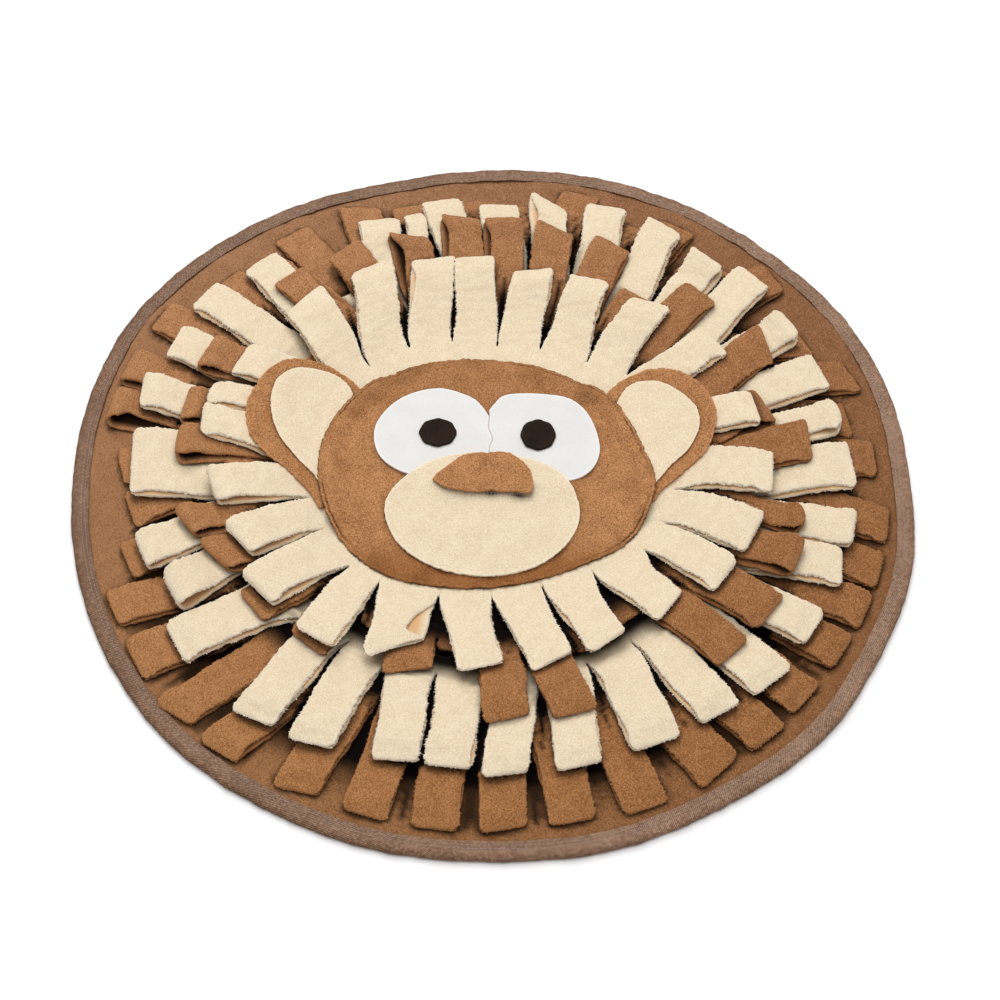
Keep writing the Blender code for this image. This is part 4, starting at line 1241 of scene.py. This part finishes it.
RIM_INSETS = (3.4, 3.0, 2.6, 2.3, 2.0, 1.6, 1.2, 0.9)     # rows of a sheet's top at its rim
RIM_TURNS = np.radians((25.0, 50.0, 70.0, 90.0, 110.0, 130.0, 155.0))
UNDER_SHARES = (0.93, 0.9, 0.87, 0.84, 0.8, 0.7, 0.5, 0.25, 0.02)
SEAM_INSET = 2.3            # from a sheet's rim to its seam
SEAM_WIDTH = 0.5            # of the groove along that seam
TUCK_INSET = 4.5            # inset from which a sheet's top bends down to its rim
SWELL_SIZE = 30.0           # length of a sheet's swells
WRINKLE_SIZE = 9.0          # and of the wrinkles that cross its rim
WRINKLE_REACH = 7.0         # how far in those go


def add_sheet(name, outline, middle, under, thickness, material, node,
              rests_on, steps, rows=26, swell=0.3, nap=0.12, ragged=0.1, crisp=0.7,
              tuck=0.0, pucker=0.0, groove=0.0, rim_shade=0.0, rim_light=0.6,
              stitches=None, joint_and_painted_shade=None, painted_warm_shade=None):
    """A flat piece of cloth over an outline, lying at the height under(plan).

    Rows go from the middle to the rim, round the rim, and back below.  The rim's section
    is a superellipse, square at crisp 0 and round at 1.  tuck is how far the top bends
    down near the rim, and pucker the height of the wrinkles that cross it at the far side.
    groove is the depth of the seam sunk in along the rim, with painted shade in it, and
    rim_shade and rim_light are a painted shade and a painted highlight round the rim.
    joint_and_painted_shade(plan) is a painted shade, and on the eyes the tan line where
    they meet, and painted_warm_shade(plan) how far the colour goes to the material's inside
    one, a painted warm shade.  stitches are an inset, a pitch, a thread's radius and its
    material.
    """
    middle = np.array(middle, dtype=float)
    outline = evenly(outline, steps)
    offset = outline - middle
    reach = np.linalg.norm(offset, axis=1)
    outline = outline + offset / reach[:, None] * (ragged * waves(outline, 4.0, 5))[:, None]
    offset = outline - middle
    reach = np.linalg.norm(offset, axis=1)
    wrinkle = (pucker * waves(outline, WRINKLE_SIZE, 21)
               * smoothstep((outline[:, 1] - 10.0) / 40.0))
    radius = (thickness - tuck) / 2.0
    seam = np.clip(0.8 + 0.5 * waves(outline, 60.0, 14), 0.0, 1.0)
    seam = seam * smoothstep((outline[:, 1] + 78.0) / 30.0)

    def top(inset, lower=0.0):
        """Points of the top drawn in from the rim by inset, and lowered by lower."""
        inset = np.broadcast_to(inset, reach.shape)
        plan = outline - offset / reach[:, None] * inset[:, None]
        height = under(plan) + thickness - tuck * (1.0 - smoothstep(inset / TUCK_INSET)) - lower
        height = height + swell * waves(plan, SWELL_SIZE, 8) * smoothstep(inset / 12.0)
        height = height + wrinkle * np.exp(-inset / WRINKLE_REACH) * smoothstep(inset / 1.5)
        height = height - seam * groove * np.exp(-((inset - SEAM_INSET) / SEAM_WIDTH) ** 2)
        return np.column_stack((plan, height))

    surface = [(top(np.maximum((1.0 - share) * reach, 4.0 + (1.0 - share))), 0.0, 0.0)
               for share in np.linspace(0.02, 0.94, rows)]
    # rows at the rim carry painted highlight, and painted shade in the seam's groove
    surface += [(top(max(inset, radius)), rim_light * max(0.0, 1.0 - inset / 1.6),
                 0.9 * min(1.0, groove) * seam * np.exp(-((inset - SEAM_INSET) / 0.35) ** 2))
                for inset in RIM_INSETS]
    for angle in RIM_TURNS:
        across, down = np.sin(angle) ** crisp, np.abs(np.cos(angle)) ** crisp
        down = 1.0 - down * np.sign(np.cos(angle))
        surface.append((top(radius * (1.0 - across), radius * down), rim_light, rim_shade))
    below = [(outline - offset / reach[:, None] * inset, rim_shade) for inset in (radius, 4.0)]
    below += [(middle + offset * min(share, 1.0 - 4.2 / reach.max()), 0.0)
              for share in UNDER_SHARES]
    surface += [(np.column_stack((plan, under(plan))), 0.0, shade) for plan, shade in below]
    surface, light, dark = zip(*surface)
    poles = np.array((middle, middle))
    poles = np.column_stack((poles, under(poles) + (thickness, 0.0)))
    points, faces = closed_body(surface, poles)

    # the painted shade round the rim comes and goes in patches
    patchy = np.clip(0.75 + 0.35 * waves(outline, 13.0, 6), 0.0, 1.0)
    dark = np.stack([np.broadcast_to(row, patchy.shape) for row in dark]) * patchy
    shade = np.append(dark.ravel(), (0.0, 0.0))
    # painted shade, and on the eyes the tan line where they meet
    if joint_and_painted_shade is not None:
        shade = np.maximum(shade, joint_and_painted_shade(points[:, :2]))
    marks = {"edge": np.append(np.repeat(light, steps), (0.0, 0.0)), "shade": shade}
    # painted warm shade
    if painted_warm_shade is not None:
        marks["inside"] = painted_warm_shade(points[:, :2])
    piece = add_piece(name, points + SEWN_SHIFT, faces, material, (node,), nap=nap,
                      marks=marks)
    if stitches is not None:
        inset, pitch, radius, sewing = stitches
        path = top(inset) + SEWN_SHIFT + (0.0, 0.0, 0.5 * radius)
        join_threads(
            name + "_stitches", [stitch_mesh(path, pitch, 0.75 * pitch, radius, 0.25)],
            sewing)


# inside is a painted warm shade, used on the chin; edge is a painted highlight on rims
face_fleece = fleece(
    "face_fleece", deep=(0.23, 0.096, 0.036), body=(0.415, 0.190, 0.077),
    tip=(0.59, 0.29, 0.127), edge=(0.60, 0.30, 0.13), inside=(0.21, 0.066, 0.012),
    pebble=1.1, relief=0.5, sheen=0.05)

for side, outer, inner, middle, inner_steps in (
        ("left", LEFT_EAR, LEFT_INNER_EAR, (-115.0, 25.0), 250),
        ("right", RIGHT_EAR, RIGHT_INNER_EAR, (105.0, 28.0), 260)):
    # each ear takes a painted contact shadow along its inner ear's rim
    add_sheet("ear_cloth_" + side, closed_curve(outer, 400), middle, ear_under, PIECE,
              face_fleece, "ear_" + side,
              ["strips_inner_cream"], ragged=0.18, steps=360, rows=60,
              joint_and_painted_shade=lambda plan, rim=closed_curve(inner, 400): 0.6 * np.exp(
                  -nearest(plan, rim)))
    add_sheet("inner_ear_cloth_" + side, closed_curve(inner, 400), middle, inner_ear_under,
              FELT, cream_fleece, "inner_ear_" + side,
              ["ear_cloth_" + side], nap=0.06, tuck=0.3, rim_light=0.3,
              steps=inner_steps)


# ---------------------------------------------------------------- face
# A brown fleece oval, sewn down round its rim over the innermost strips' roots.  It is a
# little crowned, rises over the ears, and is puckered along its top.

FACE = closed_curve(
    ((95.5, -19), (89, 12), (74, 44), (49, 65), (20, 77), (-20, 80), (-55, 71), (-84, 47),
     (-100, 15), (-101, -19), (-89, -52), (-63, -77), (-25, -86), (12, -84), (49, -72),
     (81, -53)), 400)
FACE_MIDDLE = (-3.0, -4.0)
FACE_CROWN = 3.0            # rise of the face's middle over its rim
FACE_EAR_RISE = 4.9         # extra rise of its rim where it lies over an ear
FACE_EAR_START = 0.84       # shares of the way to the rim between which it rises so
FACE_EAR_END = 0.95
EAR_SPANS = ((131.0, 213.0), (-30.0, 50.0))     # bearings at which the rim lies over an ear
EAR_EASE = 10.0             # bearings over which that rise sets in


def face_place(plan):
    """Each point's share of the way from the face's middle to its rim, and that rim point."""
    offset = plan - np.array(FACE_MIDDLE)
    rim = FACE - np.array(FACE_MIDDLE)
    rim_angle = np.arctan2(rim[:, 1], rim[:, 0])
    order = np.argsort(rim_angle)
    angle = np.arctan2(offset[:, 1], offset[:, 0])
    radius = np.interp(angle, rim_angle[order], np.linalg.norm(rim, axis=1)[order],
                       period=2.0 * np.pi)
    share = np.linalg.norm(offset, axis=1) / radius
    return share, np.array(FACE_MIDDLE) + offset / np.maximum(share, 1e-6)[:, None]


def face_under(plan):
    """The face rests on the inner ring, rises over the ears, and is a little crowned."""
    share, rim = face_place(plan)
    bearing = np.degrees(np.arctan2(rim[:, 1], rim[:, 0]))
    over_ear = 0.0
    for first, last in EAR_SPANS:
        past_first = (bearing - first) % 360.0
        over_ear = over_ear + (smoothstep(past_first / EAR_EASE)
                               * smoothstep((last - first - past_first) / EAR_EASE))
    over_ear = over_ear * smoothstep(
        (share - FACE_EAR_START) / (FACE_EAR_END - FACE_EAR_START))
    rest = ring_top(INNER_CREAM, np.linalg.norm(rim, axis=1)) + 2.0 * REST
    return rest + FACE_EAR_RISE * over_ear + FACE_CROWN * (1.0 - np.minimum(share, 1.0) ** 2)


def face_painted_shade(plan):
    """Painted shade: contact shadow round eyes and muzzle, crease shade, darker far side."""
    share, rim = face_place(plan)
    # painted shade of creases near the rim, and darker towards the far side
    creases_and_far_side = np.clip(waves(plan, 24.0, 31) - 0.1, 0.0, 1.0)
    creases_and_far_side = creases_and_far_side * 0.17 * smoothstep((share - 0.72) / 0.2)
    creases_and_far_side = creases_and_far_side + 0.12 * smoothstep((plan[:, 1] - 25.0) / 35.0)
    # painted contact shadow round the muzzle and the eyes
    painted_contact_shadow = 0.5 * np.exp(-nearest(plan, closed_curve(MUZZLE_OUTLINE, 400)) / 1.6)
    for eye in (LEFT_EYE, RIGHT_EYE):
        painted_contact_shadow = np.maximum(painted_contact_shadow, 0.4 * np.exp(-nearest(plan, closed_curve(eye, 400)) / 1.4))
    return np.minimum(creases_and_far_side + painted_contact_shadow, 0.75)


def chin_painted_shade(plan):
    """Painted warm shade, darker and more orange, most on the chin, which slopes from the light.
    """
    return 0.62 * smoothstep((-52.0 - plan[:, 1]) / 22.0)


LEFT_EYE = ((-33, 54), (-55, 46), (-69, 26), (-67, 4), (-52, -10), (-30, -14), (-6, -10),
            (1, 8), (1, 25), (-6.5, 41), (-15, 48.5))
RIGHT_EYE = ((10, 49.5), (31, 50), (48, 46), (59, 32), (64, 9), (58, -8), (44, -16),
             (20, -15), (0, -8), (-6, 8), (-7, 25), (1.5, 42))
MUZZLE_OUTLINE = ((-6, 3), (-36, -4), (-57, -22), (-62, -38), (-53, -60), (-31, -75),
                  (-2, -80), (26, -73), (45, -56), (51, -36), (43, -15), (24, -2))

# the face takes painted shade round its rim, in its seam's groove, round the eyes and muzzle and
# on the chin
add_sheet("face_cloth", FACE, FACE_MIDDLE, face_under, PIECE, face_fleece,
          "face", ["strips_inner_cream", "ear_cloth_left", "ear_cloth_right"],
          swell=0.6, ragged=0.22, tuck=1.0, pucker=0.5, rim_shade=0.75,
          rim_light=0.3, steps=560, rows=64, groove=1.0, joint_and_painted_shade=face_painted_shade,
          painted_warm_shade=chin_painted_shade)


# ---------------------------------------------------------------- eyes
# Two white felt ovals that meet along a line above the nose, and a black felt round on each.

EYE_SEAM = -1.7             # the eyes meet along this line in X
PUPIL = 1.2                 # thickness of the pupils' felt
SEAM_TAN = (0.42, 0.33, 0.25)
PUPILS = {"left": ((-32.0, 18.5), 11.0, 10.6), "right": ((27.5, 17.5), 10.4, 11.4)}


def felt(name, low, high, edge):
    """Smooth felt: fine short fibres, as stretched noise, and faint broad clouding."""
    material, shader, place = new_material(name, 0.9, 0.1)
    fibres = place.times(FIBRE_DRAW).noise(0.7, 3.0, 0.7)
    clouds = place.noise(18.0, 2.0)
    level = (fibres * 0.8 + (clouds - 0.5) * 0.6 + 0.1).clamped()
    # the rim takes a painted highlight
    colour = (place.attribute("edge") * 0.8).blend(level.blend(low, high), edge)
    colour = place.attribute("shade").blend(colour, SEAM_TAN)
    dress(shader, colour, fibres, 0.5, 0.25)
    return material


def eye_under(plan):
    """The eyes lie a little clear of the face."""
    return face_under(plan) + PIECE + REST


def pupil_under(plan):
    """The pupils lie a little clear of the eyes."""
    return eye_under(plan) + FELT + REST


white_felt = felt("white_felt", (0.67, 0.655, 0.63), (0.80, 0.785, 0.765), (0.94, 0.94, 0.94))
black_felt = felt("black_felt", (0.002, 0.0014, 0.001), (0.040, 0.024, 0.015),
                  (0.006, 0.005, 0.004))
dark_thread = thread("dark_thread", (0.055, 0.030, 0.018))


def eye_seam(y):
    """Where the two eyes meet, in X, at a height Y on the face: nearly straight."""
    return EYE_SEAM + 2.0 * np.exp(-((y - 15.0) / 5.0) ** 2) + 0.25 * np.sin(y / 2.3)


def seam_stain(plan):
    """A faint tan line where the two eyes meet."""
    return 0.6 * np.exp(-((plan[:, 0] - eye_seam(plan[:, 1])) / 0.45) ** 2)


left_eye = closed_curve(LEFT_EYE, 800)
left_eye[:, 0] = np.minimum(left_eye[:, 0], eye_seam(left_eye[:, 1]))
right_eye = closed_curve(RIGHT_EYE, 800)
right_eye[:, 0] = np.maximum(right_eye[:, 0], eye_seam(right_eye[:, 1]))
for side, outline, middle in (
        ("left", left_eye, (-36.0, 20.0)), ("right", right_eye, (31.0, 18.0))):
    add_sheet("eye_felt_" + side, outline, middle, eye_under, FELT, white_felt,
              "eye_" + side, ["face_cloth"], nap=0.03,
              swell=0.2, ragged=0.0, crisp=0.25, steps=420, joint_and_painted_shade=seam_stain)
for side, (middle, half_width, half_height) in PUPILS.items():
    turn = np.linspace(0.0, 2.0 * np.pi, 120, endpoint=False)
    facet = 1.0 + 0.02 * np.cos(8.0 * turn)
    outline = np.array(middle) + np.column_stack(
        (half_width * np.cos(turn) * facet, half_height * np.sin(turn) * facet))
    add_sheet("pupil_felt_" + side, outline, middle, pupil_under, PUPIL, black_felt,
              "pupil_" + side, ["eye_felt_" + side],
              nap=0.03, swell=0.1, ragged=0.06, crisp=0.5, steps=110, rows=14,
              stitches=(1.3, 1.6, 0.2, dark_thread))


# ---------------------------------------------------------------- muzzle and nose
# A cream fleece oval under the eyes, and a brown fleece nose sewn along its top, whose
# lower edge stands up from the muzzle.

MUZZLE = 1.8                # thickness of the muzzle's fleece
NOSE = ((-5, 1.8), (-17, -1.5), (-25.5, -9), (-34, -17.5), (-32, -21), (-27, -24.3),
        (-14, -26.5), (0, -26), (12, -26.6), (19.5, -27.6), (23, -26.6), (24, -20), (22, -11),
        (16, -3), (8, 2))
NOSE_LIP = 1.6              # how far the nose's loose lower edge stands up
NOSE_BULGE = 1.5            # and how much further where it gapes


def muzzle_under(plan):
    """The muzzle lies on the face, and on the eyes' lower edges further up."""
    over_eyes = smoothstep((plan[:, 1] + 34.0) / 16.0)
    return face_under(plan) + PIECE + REST + (FELT + 2.0 * REST) * over_eyes


def nose_bulges(plan):
    """1 at the two places where the nose's lower edge gapes, and 0 elsewhere."""
    return (np.exp(-((plan[:, 0] + 0.5) / 3.6) ** 2)
            + np.exp(-((plan[:, 0] - 15.5) / 4.2) ** 2))


def nose_under(plan):
    """The nose is sewn along its top, and its lower edge stands up."""
    loose = smoothstep((-14.0 - plan[:, 1]) / 13.0)
    return muzzle_under(plan) + MUZZLE + REST + (NOSE_LIP + NOSE_BULGE * nose_bulges(plan)) * loose


def muzzle_painted_shadow(plan):
    """Painted shadow under the nose's loose lower edge."""
    below = smoothstep((-17.0 - plan[:, 1]) / 6.0) * np.exp(
        -nearest(plan, closed_curve(NOSE, 400)) / 1.5)
    return np.minimum(0.97, (0.5 + 0.8 * nose_bulges(plan)) * below)


add_sheet("muzzle_cloth", closed_curve(MUZZLE_OUTLINE, 400), (-5.0, -38.0), muzzle_under,
          MUZZLE, cream_fleece, "muzzle", ["face_cloth"],
          nap=0.08, crisp=0.5, ragged=0.08, steps=400, rows=60,
          joint_and_painted_shade=muzzle_painted_shadow)
add_sheet("nose_cloth", closed_curve(NOSE, 400), (-5.0, -13.0), nose_under, PIECE,
          face_fleece, "nose", ["muzzle_cloth"],
          nap=0.1, ragged=0.15, steps=224, rows=18)
